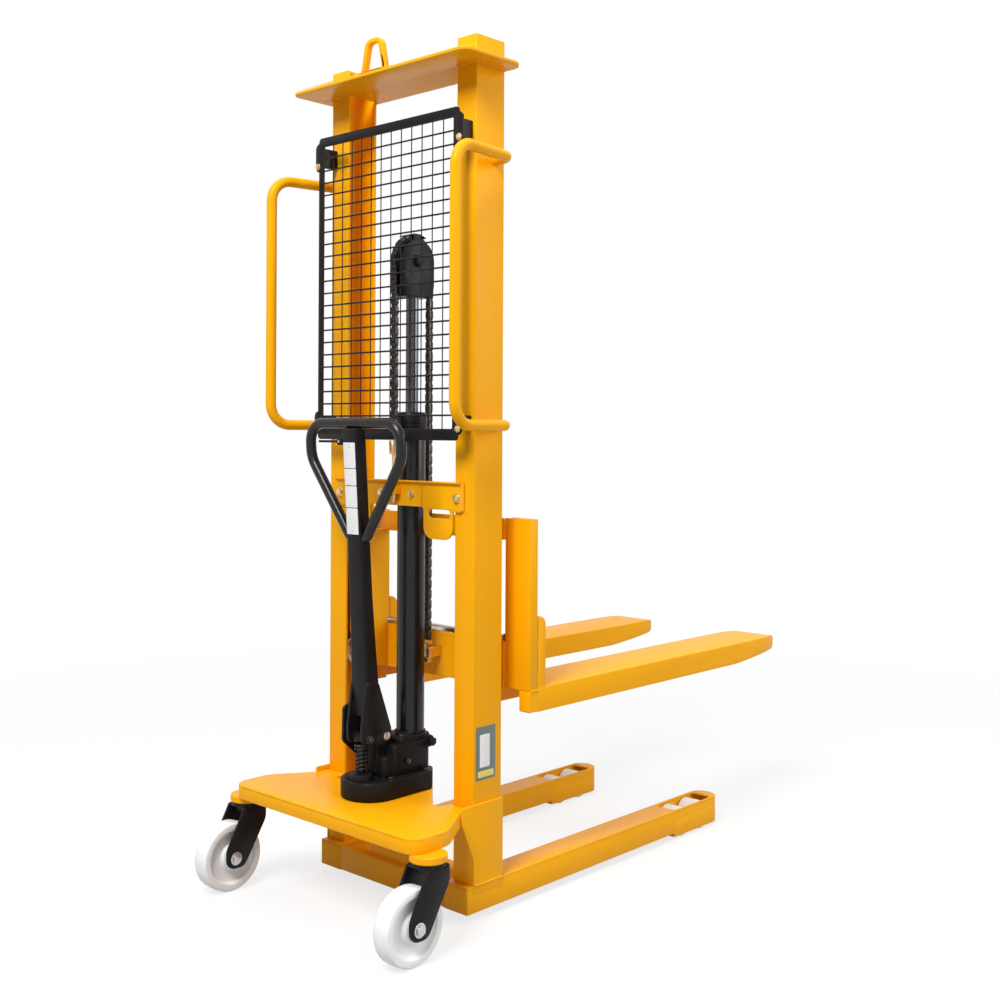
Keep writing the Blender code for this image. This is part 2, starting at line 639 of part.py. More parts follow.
def caster(name, side):
    """Swivel castor: kingpin and fork in one weldment, nylon wheel, axle bolt."""
    x = side * CASTER_X
    swivel = pivot(f"caster_{name}_swivel", (x, CASTER_Y, 0), DATUM)
    axle_y = CASTER_Y - CASTER_TRAIL
    crown_top = BOSS_BOTTOM - 0.006
    crown_low = crown_top - 0.007
    inner = WHEEL_WIDTH / 2 + 0.004
    outer = inner + ARM_WALL
    top_front = CASTER_Y + 0.030
    top_rear = CASTER_Y - 0.030
    fork = add(f"caster_fork_{name}", rod(0.010, (x, CASTER_Y, crown_low + 0.002), 0.042, "Z", 20), BLACK, swivel)
    weld(fork, rod(BOSS_RADIUS - 0.004, (x, CASTER_Y, crown_top - 0.002), 0.008 - GAP, "Z"),
         block((x - outer, top_rear, crown_low), (x + outer, top_front, crown_top)))
    low_half = 0.024
    arm = [(top_rear, crown_top, 0), (axle_y - low_half, WHEEL_RADIUS + 0.018, 0.012),
           (axle_y - low_half + 0.002, WHEEL_RADIUS - low_half, 0.020),
           (axle_y + low_half, WHEEL_RADIUS - low_half, 0.020), (top_front, crown_low - 0.030, 0.030),
           (top_front, crown_top, 0)]
    for low, high in ((x - outer, x - inner), (x + inner, x + outer)):
        weld(fork, sheet([rounded(arm)], low, high, "X"))
    cut(fork, rod(0.0073, (x - outer - 0.01, axle_y, WHEEL_RADIUS), 2 * outer + 0.02, "X", 20))
    hub = pivot(f"caster_{name}_axle", (x, axle_y, WHEEL_RADIUS), swivel)
    half = WHEEL_WIDTH / 2
    tread = WHEEL_RADIUS
    bore = 0.0073
    profile = [
        (tread - 0.005, half), (tread, half - 0.005), (tread, -half + 0.005), (tread - 0.005, -half),
        (tread - 0.018, -half), (tread - 0.024, -half + 0.009), (0.032, -half + 0.009), (0.026, -half),
        (bore, -half), (bore, half), (0.026, half), (0.032, half - 0.009), (tread - 0.024, half - 0.009),
        (tread - 0.018, half)]
    add(f"caster_wheel_{name}", turned(profile, (x, axle_y, WHEEL_RADIUS), "X"), NYLON, hub)
    bolt = add(f"caster_bolt_{name}", rod(0.007, (x - outer - 0.008, axle_y, WHEEL_RADIUS), 2 * outer + 0.014, "X", 20),
               STEEL, swivel)
    weld(bolt, rod(0.012, (x - outer - 0.0095, axle_y, WHEEL_RADIUS), 0.009, "X", 6),
         rod(0.012, (x + outer + GAP, axle_y, WHEEL_RADIUS), 0.008, "X", 6))


# --- Lift --------------------------------------------------------------------------------------------
def ram():
    """Cylinder tube and gland on the pump; piston rod, crosshead, sheave and chain above."""
    tube = add("cylinder_tube", rod(TUBE_RADIUS, (0, RAM_Y, PUMP_TOP + GAP), TUBE_TOP - PUMP_TOP - GAP, "Z"), BLACK)
    cut(tube, rod(TUBE_BORE, (0, RAM_Y, PUMP_TOP - 0.01), TUBE_TOP - PUMP_TOP + 0.02, "Z"))
    height = GLAND_TOP - TUBE_TOP - GAP
    gland = [(GLAND_RADIUS, height - 0.006), (GLAND_RADIUS, 0), (ROD_RADIUS + GAP, 0), (ROD_RADIUS + GAP, height),
             (GLAND_RADIUS - 0.006, height)]
    add("cylinder_gland", turned(gland, (0, RAM_Y, TUBE_TOP + GAP), "Z", 32), BLACK)

    lift = pivot("ram_lift", (0, RAM_Y, SHEAVE_Z), DATUM)
    foot = SHEAVE_Z - 0.086
    head_z = 0.700
    piston = add("piston_rod", rod(ROD_RADIUS, (0, RAM_Y, head_z), foot - GAP - head_z, "Z"), STEEL, lift)
    weld(piston, rod(TUBE_BORE - GAP, (0, RAM_Y, head_z - 0.02), 0.040, "Z"))

    outer = CHAIN_INNER + CHAIN_DEPTH
    cheek = [Vector((RAM_Y - outer, foot + 0.001)), Vector((RAM_Y + outer, foot + 0.001))]
    cheek += [Vector((RAM_Y + outer * cos(pi * i / 16), SHEAVE_Z + outer * sin(pi * i / 16))) for i in range(17)]
    head = add("crosshead_housing", block((-PLATE_X - PLATE_WALL + 0.001, RAM_Y - CHAIN_INNER + 0.006, foot),
                                          (PLATE_X + PLATE_WALL - 0.001, RAM_Y + CHAIN_INNER - 0.006, foot + 0.024)), BLACK, lift)
    for low, high in ((-PLATE_X - PLATE_WALL, -PLATE_X), (PLATE_X, PLATE_X + PLATE_WALL)):
        weld(head, sheet([cheek], low, high, "X"))
    cut(head, rod(0.0103, (-0.05, RAM_Y, SHEAVE_Z), 0.1, "X", 24))
    pin = add("sheave_pin", rod(0.010, (-0.028, RAM_Y, SHEAVE_Z), 0.056, "X", 24), STEEL, lift)
    weld(pin, rod(0.014, (PLATE_X + PLATE_WALL + GAP, RAM_Y, SHEAVE_Z), 0.005, "X", 24))

    spin = pivot("sheave_axis", (0, RAM_Y, SHEAVE_Z), lift)
    rim = CHAIN_INNER - GAP
    flange = CHAIN_INNER + 0.008
    edge = PLATE_X - 0.002
    groove = CHAIN_HALF + 0.0006
    profile = [(flange, edge), (flange, groove), (rim, groove), (rim, -groove), (flange, -groove), (flange, -edge),
               (0.0103, -edge), (0.0103, edge)]
    add("chain_sheave", turned(profile, (0, RAM_Y, SHEAVE_Z), "X", 36), BLACK, spin)
    wrap = [Vector((RAM_Y + outer * cos(pi * i / 18), SHEAVE_Z + GAP + outer * sin(pi * i / 18))) for i in range(19)]
    wrap += [Vector((RAM_Y - CHAIN_INNER * cos(pi * i / 18), SHEAVE_Z + GAP + CHAIN_INNER * sin(pi * i / 18)))
             for i in range(19)]
    add("chain_over_sheave", sheet([wrap], -CHAIN_HALF, CHAIN_HALF, "X"), CHAIN, lift)
    add("chain_front", block((-CHAIN_HALF, RAM_Y + CHAIN_INNER, FRONT_ANCHOR_Z + GAP),
                             (CHAIN_HALF, RAM_Y + outer, SHEAVE_Z)), CHAIN, lift)
    add("chain_rear", block((-CHAIN_HALF, RAM_Y - outer, REAR_ANCHOR_Z + GAP),
                            (CHAIN_HALF, RAM_Y - CHAIN_INNER, SHEAVE_Z)), CHAIN)
    chain_y = RAM_Y - CHAIN_INNER - CHAIN_DEPTH / 2
    anchor = add("chain_anchor_rear", rod(0.005, (0, chain_y, 0.918), 0.120, "Z", 20), ZINC)
    weld(anchor, block((-0.010, chain_y - 0.008, REAR_ANCHOR_Z - 0.030), (0.010, chain_y + 0.008, REAR_ANCHOR_Z)),
         rod(0.0073, (0, chain_y, 0.926), 0.012 - GAP, "Z", 6))


def carriage():
    """Roller plates, uprights, cross plates, chain anchor, guide rollers and forks."""
    slide = pivot("carriage_slide", (0, MAST_DEPTH / 2, CARRIAGE_BOTTOM), DATUM)
    roller_y = MAST_DEPTH / 2
    outer = SIDE_PLATE_X + SIDE_PLATE_WALL
    for name, side in SIDES:
        low, high = span(side, SIDE_PLATE_X, outer)
        corners = [(0.012, CARRIAGE_BOTTOM + 0.004, 0.060), (CROSS_Y - GAP, CARRIAGE_BOTTOM + 0.004, 0),
                   (CROSS_Y - GAP, CARRIAGE_TOP - 0.044, 0), (0.012, CARRIAGE_TOP - 0.044, 0.030)]
        plate = add(f"roller_plate_{name}", sheet([rounded(corners)], low, high, "X"), YELLOW, slide)
        for level, z in (("low", GUIDE_LOW_Z), ("high", GUIDE_HIGH_Z)):
            near, far = span(side, outer - 0.004, GUIDE_X + GUIDE_WIDTH + 0.004)
            weld(plate, rod(STUB_RADIUS, (near, roller_y, z), far - near, "X", 24))
            near, far = span(side, outer - 0.004, GUIDE_X - 0.003)
            weld(plate, rod(STUB_RADIUS + 0.008, (near, roller_y, z), far - near, "X", 24))
            centre = side * (GUIDE_X + GUIDE_WIDTH / 2)
            hub = pivot(f"guide_{name}_{level}_axis", (centre, roller_y, z), slide)
            edge = GUIDE_WIDTH / 2
            bore = STUB_RADIUS + GAP
            profile = [(GUIDE_RADIUS - 0.002, edge), (GUIDE_RADIUS, edge - 0.002), (GUIDE_RADIUS, -edge + 0.002),
                       (GUIDE_RADIUS - 0.002, -edge), (bore, -edge), (bore, edge)]
            add(f"guide_roller_{name}_{level}", turned(profile, (centre, roller_y, z), "X", 28), STEEL, hub)

        rear = CROSS_Y + CROSS_WALL + GAP
        front = rear + UPRIGHT_DEPTH
        wall = UPRIGHT_WALL
        near = UPRIGHT_OUTER - UPRIGHT_WIDTH
        outline = [(UPRIGHT_OUTER, rear, 0.004), (UPRIGHT_OUTER, front, 0.006), (near, front, 0.002),
                   (near, front - wall, 0), (UPRIGHT_OUTER - wall, front - wall, 0), (UPRIGHT_OUTER - wall, rear + wall, 0),
                   (near, rear + wall, 0), (near, rear, 0.002)]
        add(f"fork_upright_{name}", sheet([[(side * x, y) for x, y in rounded(outline, 3)]], CARRIAGE_BOTTOM,
                                          CARRIAGE_TOP, "Z"), YELLOW, slide)
        fork(name, side, slide)

    wide = CROSS_HALF
    low_plate = [(-wide, CARRIAGE_BOTTOM, 0.012), (wide, CARRIAGE_BOTTOM, 0.012), (wide, CROSS_LOW_TOP, 0.008),
                 (-wide, CROSS_LOW_TOP, 0.008)]
    lower = add("lower_cross_plate", sheet([rounded(low_plate)], CROSS_Y, CROSS_Y + CROSS_WALL, "Y"), YELLOW, slide)
    tube_length = 2 * (UPRIGHT_OUTER - UPRIGHT_WIDTH - 0.003)
    weld(lower, rod(0.010, (-tube_length / 2, CROSS_Y + 0.0105, CROSS_LOW_TOP + 0.006), tube_length, "X", 24))
    high_plate = [(-wide, CROSS_HIGH_BOTTOM, 0.008), (wide, CROSS_HIGH_BOTTOM, 0.008), (wide, CARRIAGE_TOP, 0.012),
                  (-wide, CARRIAGE_TOP, 0.012)]
    add("upper_cross_plate", sheet([rounded(high_plate)], CROSS_Y, CROSS_Y + CROSS_WALL, "Y"), YELLOW, slide)
    chain_y = RAM_Y + CHAIN_INNER + CHAIN_DEPTH / 2
    anchor = add("chain_anchor_front", block((-0.014, chain_y - 0.009, FRONT_ANCHOR_Z - 0.040),
                                             (0.014, CROSS_Y - GAP, FRONT_ANCHOR_Z - 0.016)), ZINC, slide)
    weld(anchor, rod(0.007, (0, chain_y, FRONT_ANCHOR_Z - 0.052), 0.050, "Z", 20),
         block((-0.010, chain_y - 0.007, FRONT_ANCHOR_Z - 0.012), (0.010, chain_y + 0.007, FRONT_ANCHOR_Z)))


def fork(name, side, slide):
    """A fork: an inverted channel with a tapered tip, and a heel that stands against the upright."""
    low, high = span(side, FORK_INNER, FORK_OUTER)
    rear = CROSS_Y + CROSS_WALL + GAP
    root = rear + UPRIGHT_DEPTH + GAP
    blade = [(root, FORK_BOTTOM, 0), (FORK_TIP - FORK_TAPER, FORK_BOTTOM, 0.20), (FORK_TIP, FORK_BOTTOM + 0.018, 0.012),
             (FORK_TIP, FORK_TOP - 0.003, 0.008), (FORK_TIP - 0.030, FORK_TOP, 0), (root, FORK_TOP, 0)]
    part = add(f"fork_{name}", sheet([rounded(blade)], low, high, "X"), YELLOW, slide)
    heel_low, heel_high = span(side, UPRIGHT_OUTER - UPRIGHT_WIDTH, FORK_OUTER - 0.001)
    front = root + HEEL_DEPTH
    heel = [(root + 0.001, FORK_TOP - 0.005, 0), (front, FORK_TOP - 0.005, 0), (front, HEEL_TOP, 0.022),
            (root + 0.001, HEEL_TOP, 0)]
    weld(part, sheet([rounded(heel)], heel_low, heel_high, "X"))
    middle = (FORK_INNER + FORK_OUTER) / 2
    half = (FORK_OUTER - FORK_INNER) / 2
    for lean in (-1, 1):
        edge = side * middle + lean * half
        tip = [(edge - lean * 0.034, FORK_TIP + 0.02), (edge + lean * 0.02, FORK_TIP + 0.02),
               (edge + lean * 0.02, FORK_TIP - 0.055), (edge, FORK_TIP - 0.055), (edge - lean * 0.009, FORK_TIP - 0.014)]
        cut(part, sheet([tip], FORK_BOTTOM - 0.05, FORK_TOP + 0.05, "Z"))
    hollow_low, hollow_high = span(side, FORK_INNER + FORK_WALL, FORK_OUTER - FORK_WALL)
    cut(part, block((hollow_low, rear - 0.02, FORK_BOTTOM - 0.03),
                    (hollow_high, FORK_TIP - FORK_TAPER, FORK_TOP - FORK_TOP_WALL)))
    lug_low, lug_high = span(side, HEEL_INNER, FORK_OUTER - 0.001)
    weld(part, block((lug_low, rear, FORK_BOTTOM + 0.001), (lug_high, front + 0.004, CARRIAGE_BOTTOM - GAP)))


# --- Pump and tiller ---------------------------------------------------------------------------------
def spine_y(z):
    """Middle of the tiller's leaning spine at a height."""
    return SPINE_FOOT_Y + (SPINE_HEAD_Y - SPINE_FOOT_Y) * (z - PIVOT_Z) / (LOOP_TOP - PIVOT_Z)


def pump():
    """Cast pump block on the deck, with its plunger, return spring and relief plug."""
    base = DECK_TOP + GAP
    near = [(FOOT_HALF, PLUNGER_Y - 0.039, FOOT_HALF * 0.98), (FOOT_HALF, TONGUE_NECK - 0.003, 0.010),
            (FOOT_HALF - 0.030, RAM_Y + 0.0375, 0.010)]
    plan = near + [(-x, y, radius) for x, y, radius in reversed(near)]
    body = add("pump_block", sheet([rounded(plan, 8)], base, base + 0.043, "Z"), BLACK)
    narrow = BLOCK_HALF - 0.011
    weld(body, block((-narrow, PIVOT_Y - 0.020, base + 0.03), (narrow, RAM_Y + 0.036, PUMP_TOP - 0.014)))
    cut(body, block((-0.07, PIVOT_Y - 0.03, STEP_TOP), (0.07, PIVOT_Y + 0.009, PUMP_TOP)))
    weld(body, rod(TUBE_RADIUS + 0.008, (0, RAM_Y, base + 0.035), PUMP_TOP - base - 0.035, "Z"),
         rod(0.026, (0, PLUNGER_Y, base + 0.03), BARREL_TOP - base - 0.03, "Z"))
    lug = [Vector((PIVOT_Y - 0.018, base + 0.05)), Vector((PIVOT_Y + 0.018, base + 0.05))]
    lug += [Vector((PIVOT_Y + 0.018 * cos(pi * i / 8), PIVOT_Z + 0.018 * sin(pi * i / 8))) for i in range(9)]
    weld(body, sheet([lug], -LUG_HALF, LUG_HALF, "X"),
         rod(0.006, (-narrow - 0.0125, PIVOT_Y, ARM_PIVOT_Z), 0.02, "X", 20),
         rod(0.011, (narrow - 0.004, RAM_Y + 0.014, PUMP_TOP - 0.030), 0.026, "X", 6))
    cut(body, rod(PIN_RADIUS + GAP, (-0.05, PIVOT_Y, PIVOT_Z), 0.1, "X", 24),
        rod(0.0093, (0, PLUNGER_Y, base + 0.005), BARREL_TOP - base + 0.01, "Z", 24))

    travel = pivot("plunger_slide", (0, PLUNGER_Y, CAP_TOP), DATUM)
    plunger = add("pump_plunger", rod(0.009, (0, PLUNGER_Y, PLUNGER_LOW), CAP_TOP - PLUNGER_LOW, "Z", 24), STEEL, travel)
    weld(plunger, rod(0.016, (0, PLUNGER_Y, CAP_TOP - 0.006), 0.006, "Z", 24))
    coils = 4
    steps = 12
    low = BARREL_TOP + GAP + 0.0015
    high = CAP_TOP - 0.006 - GAP - 0.0015
    helix = [Vector((0.0128 * cos(2 * pi * i / steps), PLUNGER_Y + 0.0128 * sin(2 * pi * i / steps),
                     low + (high - low) * i / (coils * steps))) for i in range(coils * steps + 1)]
    add("pump_spring", pipe(helix, 0.0014, 1), STEEL)


def tiller():
    """Tiller: leaning box spine with its yoke and cam nose, and the bent-tube loop."""
    swing = pivot("tiller_swing", (0, PIVOT_Y, PIVOT_Z), DATUM)
    half = SPINE_DEPTH / 2
    foot = PIVOT_Z + 0.048
    blade = [Vector((spine_y(foot) - half, foot)), Vector((spine_y(foot) + half, foot)),
             Vector((spine_y(SPINE_TOP) + half, SPINE_TOP)), Vector((spine_y(SPINE_TOP) - half, SPINE_TOP))]
    spine = add("tiller_spine", sheet([blade], -SPINE_HALF, SPINE_HALF, "X"), BLACK, swing)
    cheek = [(PIVOT_Y - 0.074, PIVOT_Z - 0.012, 0.016), (PIVOT_Y + 0.016, PIVOT_Z - 0.018, 0.016),
             (PIVOT_Y + 0.018, PIVOT_Z + 0.020, 0.016), (spine_y(foot) + half + 0.004, foot + 0.060, 0.010),
             (spine_y(foot) - half - 0.002, foot + 0.060, 0.010), (PIVOT_Y - 0.074, PIVOT_Z + 0.030, 0.020)]
    for low, high in ((-SPINE_HALF - 0.003, -LUG_HALF - 0.0005), (LUG_HALF + 0.0005, SPINE_HALF + 0.003)):
        weld(spine, sheet([rounded(cheek)], low, high, "X"))
    nose = PLUNGER_Y
    weld(spine, rod(0.0127 - GAP, (-0.024, nose, PIVOT_Z), 0.048, "X", 28),
         rod(PIN_RADIUS, (-SPINE_HALF - 0.005, PIVOT_Y, PIVOT_Z), 2 * SPINE_HALF + 0.010, "X", 24))
    seat = SPINE_HALF + GAP
    shoulder = Vector((LOOP_HALF - LOOP_TUBE, spine_y(LOOP_SHOULDER), LOOP_SHOULDER))
    corner = Vector((LOOP_HALF - LOOP_TUBE, spine_y(LOOP_TOP), LOOP_TOP))
    toe = Vector((0.004, spine_y(LOOP_FOOT), LOOP_FOOT))
    mirror = Vector((-1, 1, 1))
    stops = [toe, shoulder, corner, corner * mirror, shoulder * mirror, toe * mirror]
    loop = add("tiller_loop", pipe(bent(stops, [0.060, 0.040, 0.040, 0.060]), LOOP_TUBE), BLACK, swing)
    cut(loop, block((-seat, spine_y(LOOP_FOOT) - 0.04, LOOP_FOOT - 0.05), (seat, spine_y(LOOP_FOOT) + 0.04, LOOP_FOOT + 0.10)))

    # Release lever inside the loop, its rod down the spine and the valve arm on the pump.
    lever_y = spine_y(LEVER_Z)
    ear_in = -SPINE_HALF + 0.002
    weld(spine, block((LEVER_X - 0.007, lever_y - 0.0125, LEVER_Z - 0.008), (ear_in, lever_y - 0.009, LEVER_Z + 0.008)),
         block((LEVER_X - 0.007, lever_y + 0.009, LEVER_Z - 0.008), (ear_in, lever_y + 0.0125, LEVER_Z + 0.008)),
         rod(0.003, (LEVER_X, lever_y - 0.0135, LEVER_Z), 0.027, "Y", 16))
    squeeze = pivot("release_lever_axis", (LEVER_X, lever_y, LEVER_Z), swing)
    lever = add("release_lever", rod(0.0065, (LEVER_X, lever_y - 0.0085, LEVER_Z), 0.017, "Y", 24), STEEL, squeeze)
    paddle = [(LEVER_X, lever_y - 0.0085, 0), (LEVER_X, lever_y + 0.0085, 0), (LEVER_TIP, lever_y + 0.0085, 0.008),
              (LEVER_TIP, lever_y - 0.0085, 0.008)]
    weld(lever, sheet([rounded(paddle)], LEVER_Z - 0.003, LEVER_Z + 0.003, "Z"))
    cut(lever, rod(0.0033, (LEVER_X, lever_y - 0.02, LEVER_Z), 0.04, "Y", 16))
    front = half + 0.006
    pull = pivot("release_rod_slide", (RELEASE_ROD_X, spine_y(0.75) + front, 0.75), swing)
    top = LEVER_Z - 0.014
    low = PIVOT_Z + 0.115
    add("release_rod", pipe([Vector((RELEASE_ROD_X, spine_y(low) + front, low)),
                             Vector((RELEASE_ROD_X, spine_y(top) + front, top))], 0.0027), STEEL, pull)
    for z in (0.55, 0.95):
        face = spine_y(z) + half
        weld(spine, block((RELEASE_ROD_X - 0.006, face - 0.002, z - 0.008), (RELEASE_ROD_X + 0.006, face + 0.012, z + 0.008)))
        cut(spine, rod(0.0036, (RELEASE_ROD_X, face + 0.006, z - 0.02), 0.04, "Z", 16))

    hinge = pivot("release_arm_axis", (-BLOCK_HALF, PIVOT_Y, ARM_PIVOT_Z), DATUM)
    plate = [(PIVOT_Y - 0.012, ARM_PIVOT_Z - 0.013, 0.010), (PIVOT_Y + 0.012, ARM_PIVOT_Z - 0.013, 0.010),
             (PIVOT_Y + 0.012, ARM_PIVOT_Z + 0.030, 0.012), (PIVOT_Y - 0.020, ARM_PIVOT_Z + 0.127, 0.010),
             (PIVOT_Y - 0.064, ARM_PIVOT_Z + 0.117, 0.014), (PIVOT_Y - 0.066, ARM_PIVOT_Z + 0.037, 0.016)]
    arm_high = -BLOCK_HALF + 0.011 - 0.0015
    add("release_arm", sheet([rounded(plate), circle((PIVOT_Y, ARM_PIVOT_Z), 0.0063, 20)], arm_high - 0.008, arm_high,
                             "X"), BLACK, hinge)


for side_name, side_sign in SIDES:
    channel(side_name, side_sign)
    push_handle(side_name, side_sign)
    leg(side_name, side_sign)
    caster(side_name, side_sign)
mast_head()
mast_tie()
guard()
chassis()
ram()
carriage()
pump()
tiller()
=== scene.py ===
"""Looks of a hand-pumped walkie stacker, built round its fixed frame.

Lengths are metres.  Sizes are written from the mast's rear face (y = 0), its middle plane (x = 0) and the
floor (z = 0); each finished piece is then moved into the frame's own place.
"""

import logging
from dataclasses import dataclass
from enum import Enum
from math import atan2, cos, pi, radians, sin, tan

import bpy
from mathutils import Matrix, Vector


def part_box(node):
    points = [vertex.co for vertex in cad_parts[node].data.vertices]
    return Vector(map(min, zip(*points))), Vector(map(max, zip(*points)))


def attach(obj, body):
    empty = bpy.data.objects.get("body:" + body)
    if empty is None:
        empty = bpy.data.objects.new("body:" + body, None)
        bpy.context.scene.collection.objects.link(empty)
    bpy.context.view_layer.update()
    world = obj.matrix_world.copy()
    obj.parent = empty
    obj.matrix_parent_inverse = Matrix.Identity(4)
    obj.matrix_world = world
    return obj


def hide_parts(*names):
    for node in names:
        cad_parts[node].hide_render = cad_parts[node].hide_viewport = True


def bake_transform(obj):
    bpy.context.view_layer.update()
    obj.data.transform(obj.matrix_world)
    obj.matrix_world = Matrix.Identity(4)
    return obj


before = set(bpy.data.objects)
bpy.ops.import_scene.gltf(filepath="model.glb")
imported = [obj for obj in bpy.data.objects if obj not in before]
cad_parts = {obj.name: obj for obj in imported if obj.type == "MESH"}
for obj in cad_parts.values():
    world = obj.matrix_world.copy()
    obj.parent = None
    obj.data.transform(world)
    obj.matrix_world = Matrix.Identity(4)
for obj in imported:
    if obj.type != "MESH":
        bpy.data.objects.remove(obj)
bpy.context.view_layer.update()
MAST_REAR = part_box("mast_channel_left")[0][1]
LOG = logging.getLogger("walkie_stacker")

Point = tuple[float, float]
Corner = tuple[float, float, float]
SIDES = (("left", -1), ("right", 1))
SEAT_GAP = 0.0003       # clearance between pieces that seat on each other
RAM_Y = 0.042           # axis of the lift cylinder
GUIDE_Y = 0.0465        # axis of the guide rollers
POST_HALF = 0.247       # outer face of a post
SENSOR_WIDTH = 36


class Axis(Enum):
    """The axis a flat outline faces, or a turned piece spins about."""

    X = "X"
    Y = "Y"
    Z = "Z"

    def facing(self) -> Matrix:
        """Turn an outline drawn on XY so that it faces this axis."""
        return {
            "X": Matrix(((0, 0, 1, 0), (1, 0, 0, 0), (0, 1, 0, 0), (0, 0, 0, 1))),
            "Y": Matrix(((1, 0, 0, 0), (0, 0, -1, 0), (0, 1, 0, 0), (0, 0, 0, 1))),
            "Z": Matrix.Identity(4),
        }[self.value]

    def vector(self) -> Vector:
        """The unit vector along this axis."""
        return Vector([1.0 if self.value == name else 0.0 for name in "XYZ"])


# --- Outlines and routes -------------------------------------------------------------------------------
def rectangle(left: float, low: float, right: float, high: float, radius: float) -> list[Corner]:
    """The four corners of a rectangle, all with one radius.

    Args:
        left: Lowest u.
        low: Lowest v.
        right: Highest u.
        high: Highest v.
        radius: Radius of every corner.

    Returns:
        The corners, to be given to rounded.
    """
    return [(left, low, radius), (right, low, radius), (right, high, radius), (left, high, radius)]


def angles(count: int, whole: float = 2 * pi) -> list[float]:
    """Even steps through an angle, with both ends.

    Args:
        count: Number of steps.
        whole: The whole angle, in radians.

    Returns:
        The angles.
    """
    return [whole * i / count for i in range(count + 1)]


def rounded(corners: list[Corner], steps: int = 8) -> list[Vector]:
    """Round each (u, v, radius) corner of an outline.

    Args:
        corners: Corners in order, each with its own radius.
        steps: Segments in a rounded corner.

    Returns:
        The outline's points.
    """
    points: list[Vector] = []
    for index, (u, v, radius) in enumerate(corners):
        corner = Vector((u, v))
        if not radius:
            points.append(corner)
            continue
        before = (Vector(corners[index - 1][:2]) - corner).normalized()
        after = (Vector(corners[(index + 1) % len(corners)][:2]) - corner).normalized()
        half = before.angle(after) / 2
        centre = corner + (before + after).normalized() * radius / sin(half)
        first = corner + before * radius / tan(half) - centre
        last = corner + after * radius / tan(half) - centre
        start = atan2(first.y, first.x)
        sweep = (atan2(last.y, last.x) - start + pi) % (2 * pi) - pi
        for step in range(steps + 1):
            angle = start + sweep * step / steps
            points.append(centre + Vector((cos(angle), sin(angle))) * radius)
    return points


def inset(corners: list[Corner], wall: float) -> list[Corner]:
    """Move the corners of an anticlockwise outline inwards by a wall."""
    moved: list[Corner] = []
    for index, (u, v, radius) in enumerate(corners):
        corner = Vector((u, v))
        before = (corner - Vector(corners[index - 1][:2])).normalized()
        after = (Vector(corners[(index + 1) % len(corners)][:2]) - corner).normalized()
        into = Vector((-before.y, before.x)) + Vector((-after.y, after.x))
        place = corner + into * wall / (1 + before.dot(after))
        moved.append((place.x, place.y, max(radius - wall, 0)))
    return moved


def circle(centre: Point, radius: float, sides: int = 32) -> list[Vector]:
    """Points of a round hole in an outline."""
    return [Vector((centre[0] + radius * cos(2 * pi * i / sides),
                    centre[1] + radius * sin(2 * pi * i / sides))) for i in range(sides)]


def mirrored(points: list[Vector], side: int) -> list[Vector]:
    """The outline on one side of the machine's middle plane."""
    return points if side > 0 else [Vector((-p[0], p[1])) for p in points]


def bent(points: list[tuple[float, float, float]], radii: list[float], steps: int = 12) -> list[Vector]:
    """Round the inner corners of a route in space.

    Args:
        points: Corners of the route, ends included.
        radii: One radius for each inner corner.
        steps: Segments in a bend.

    Returns:
        The route's points.
    """
    route = [Vector(points[0])]
    for index, radius in enumerate(radii, 1):
        corner = Vector(points[index])
        before = (Vector(points[index - 1]) - corner).normalized()
        after = (Vector(points[index + 1]) - corner).normalized()
        half = before.angle(after) / 2
        centre = corner + (before + after).normalized() * radius / sin(half)
        first = corner + before * radius / tan(half) - centre
        last = corner + after * radius / tan(half) - centre
        sweep = first.angle(last)
        for step in range(steps + 1):
            angle = sweep * step / steps
            route.append(centre + first * sin(sweep - angle) / sin(sweep) + last * sin(angle) / sin(sweep))
    route.append(Vector(points[-1]))
    return route


def span(side: int, inner: float, outer: float) -> Point:
    """Low and high x of a piece that reaches from inner to outer on one side."""
    return (inner, outer) if side > 0 else (-outer, -inner)


# --- Bench: modelling moves ----------------------------------------------------------------------------
def only(obj: bpy.types.Object) -> None:
    """Select one object and make it active."""
    if bpy.context.mode != "OBJECT":
        bpy.ops.object.mode_set(mode="OBJECT")
    bpy.ops.object.select_all(action="DESELECT")
    obj.select_set(True)
    bpy.context.view_layer.objects.active = obj


def settle(obj: bpy.types.Object) -> bpy.types.Object:
    """Merge doubles and turn every face outwards."""
    only(obj)
    bpy.ops.object.mode_set(mode="EDIT")
    bpy.ops.mesh.select_all(action="SELECT")
    bpy.ops.mesh.remove_doubles(threshold=0.000004)
    bpy.ops.mesh.normals_make_consistent(inside=False)
    bpy.ops.object.mode_set(mode="OBJECT")
    return obj


def started(name: str) -> bpy.types.Object:
    """Name the primitive just added and put its place into its mesh."""
    obj = bpy.context.active_object
    obj.name = name
    obj.data.name = name
    bpy.ops.object.transform_apply(location=True, rotation=True, scale=True)
    return obj


def soften(obj: bpy.types.Object, width: float, segments: int = 2, angle: float = 30) -> bpy.types.Object:
    """Bevel every edge sharper than an angle."""
    if width > 0:
        bevel = obj.modifiers.new("soften", "BEVEL")
        bevel.width = width
        bevel.segments = segments
        bevel.limit_method = "ANGLE"
        bevel.angle_limit = radians(angle)
        only(obj)
        bpy.ops.object.modifier_apply(modifier=bevel.name)
    return obj


def carve(obj: bpy.types.Object, cutter: bpy.types.Object, operation: str = "DIFFERENCE") -> bpy.types.Object:
    """Cut one piece with another, or weld it on, and drop the second."""
    boolean = obj.modifiers.new("carve", "BOOLEAN")
    boolean.operation = operation
    boolean.object = cutter
    only(obj)
    bpy.ops.object.modifier_apply(modifier=boolean.name)
    bpy.data.objects.remove(cutter)
    return obj


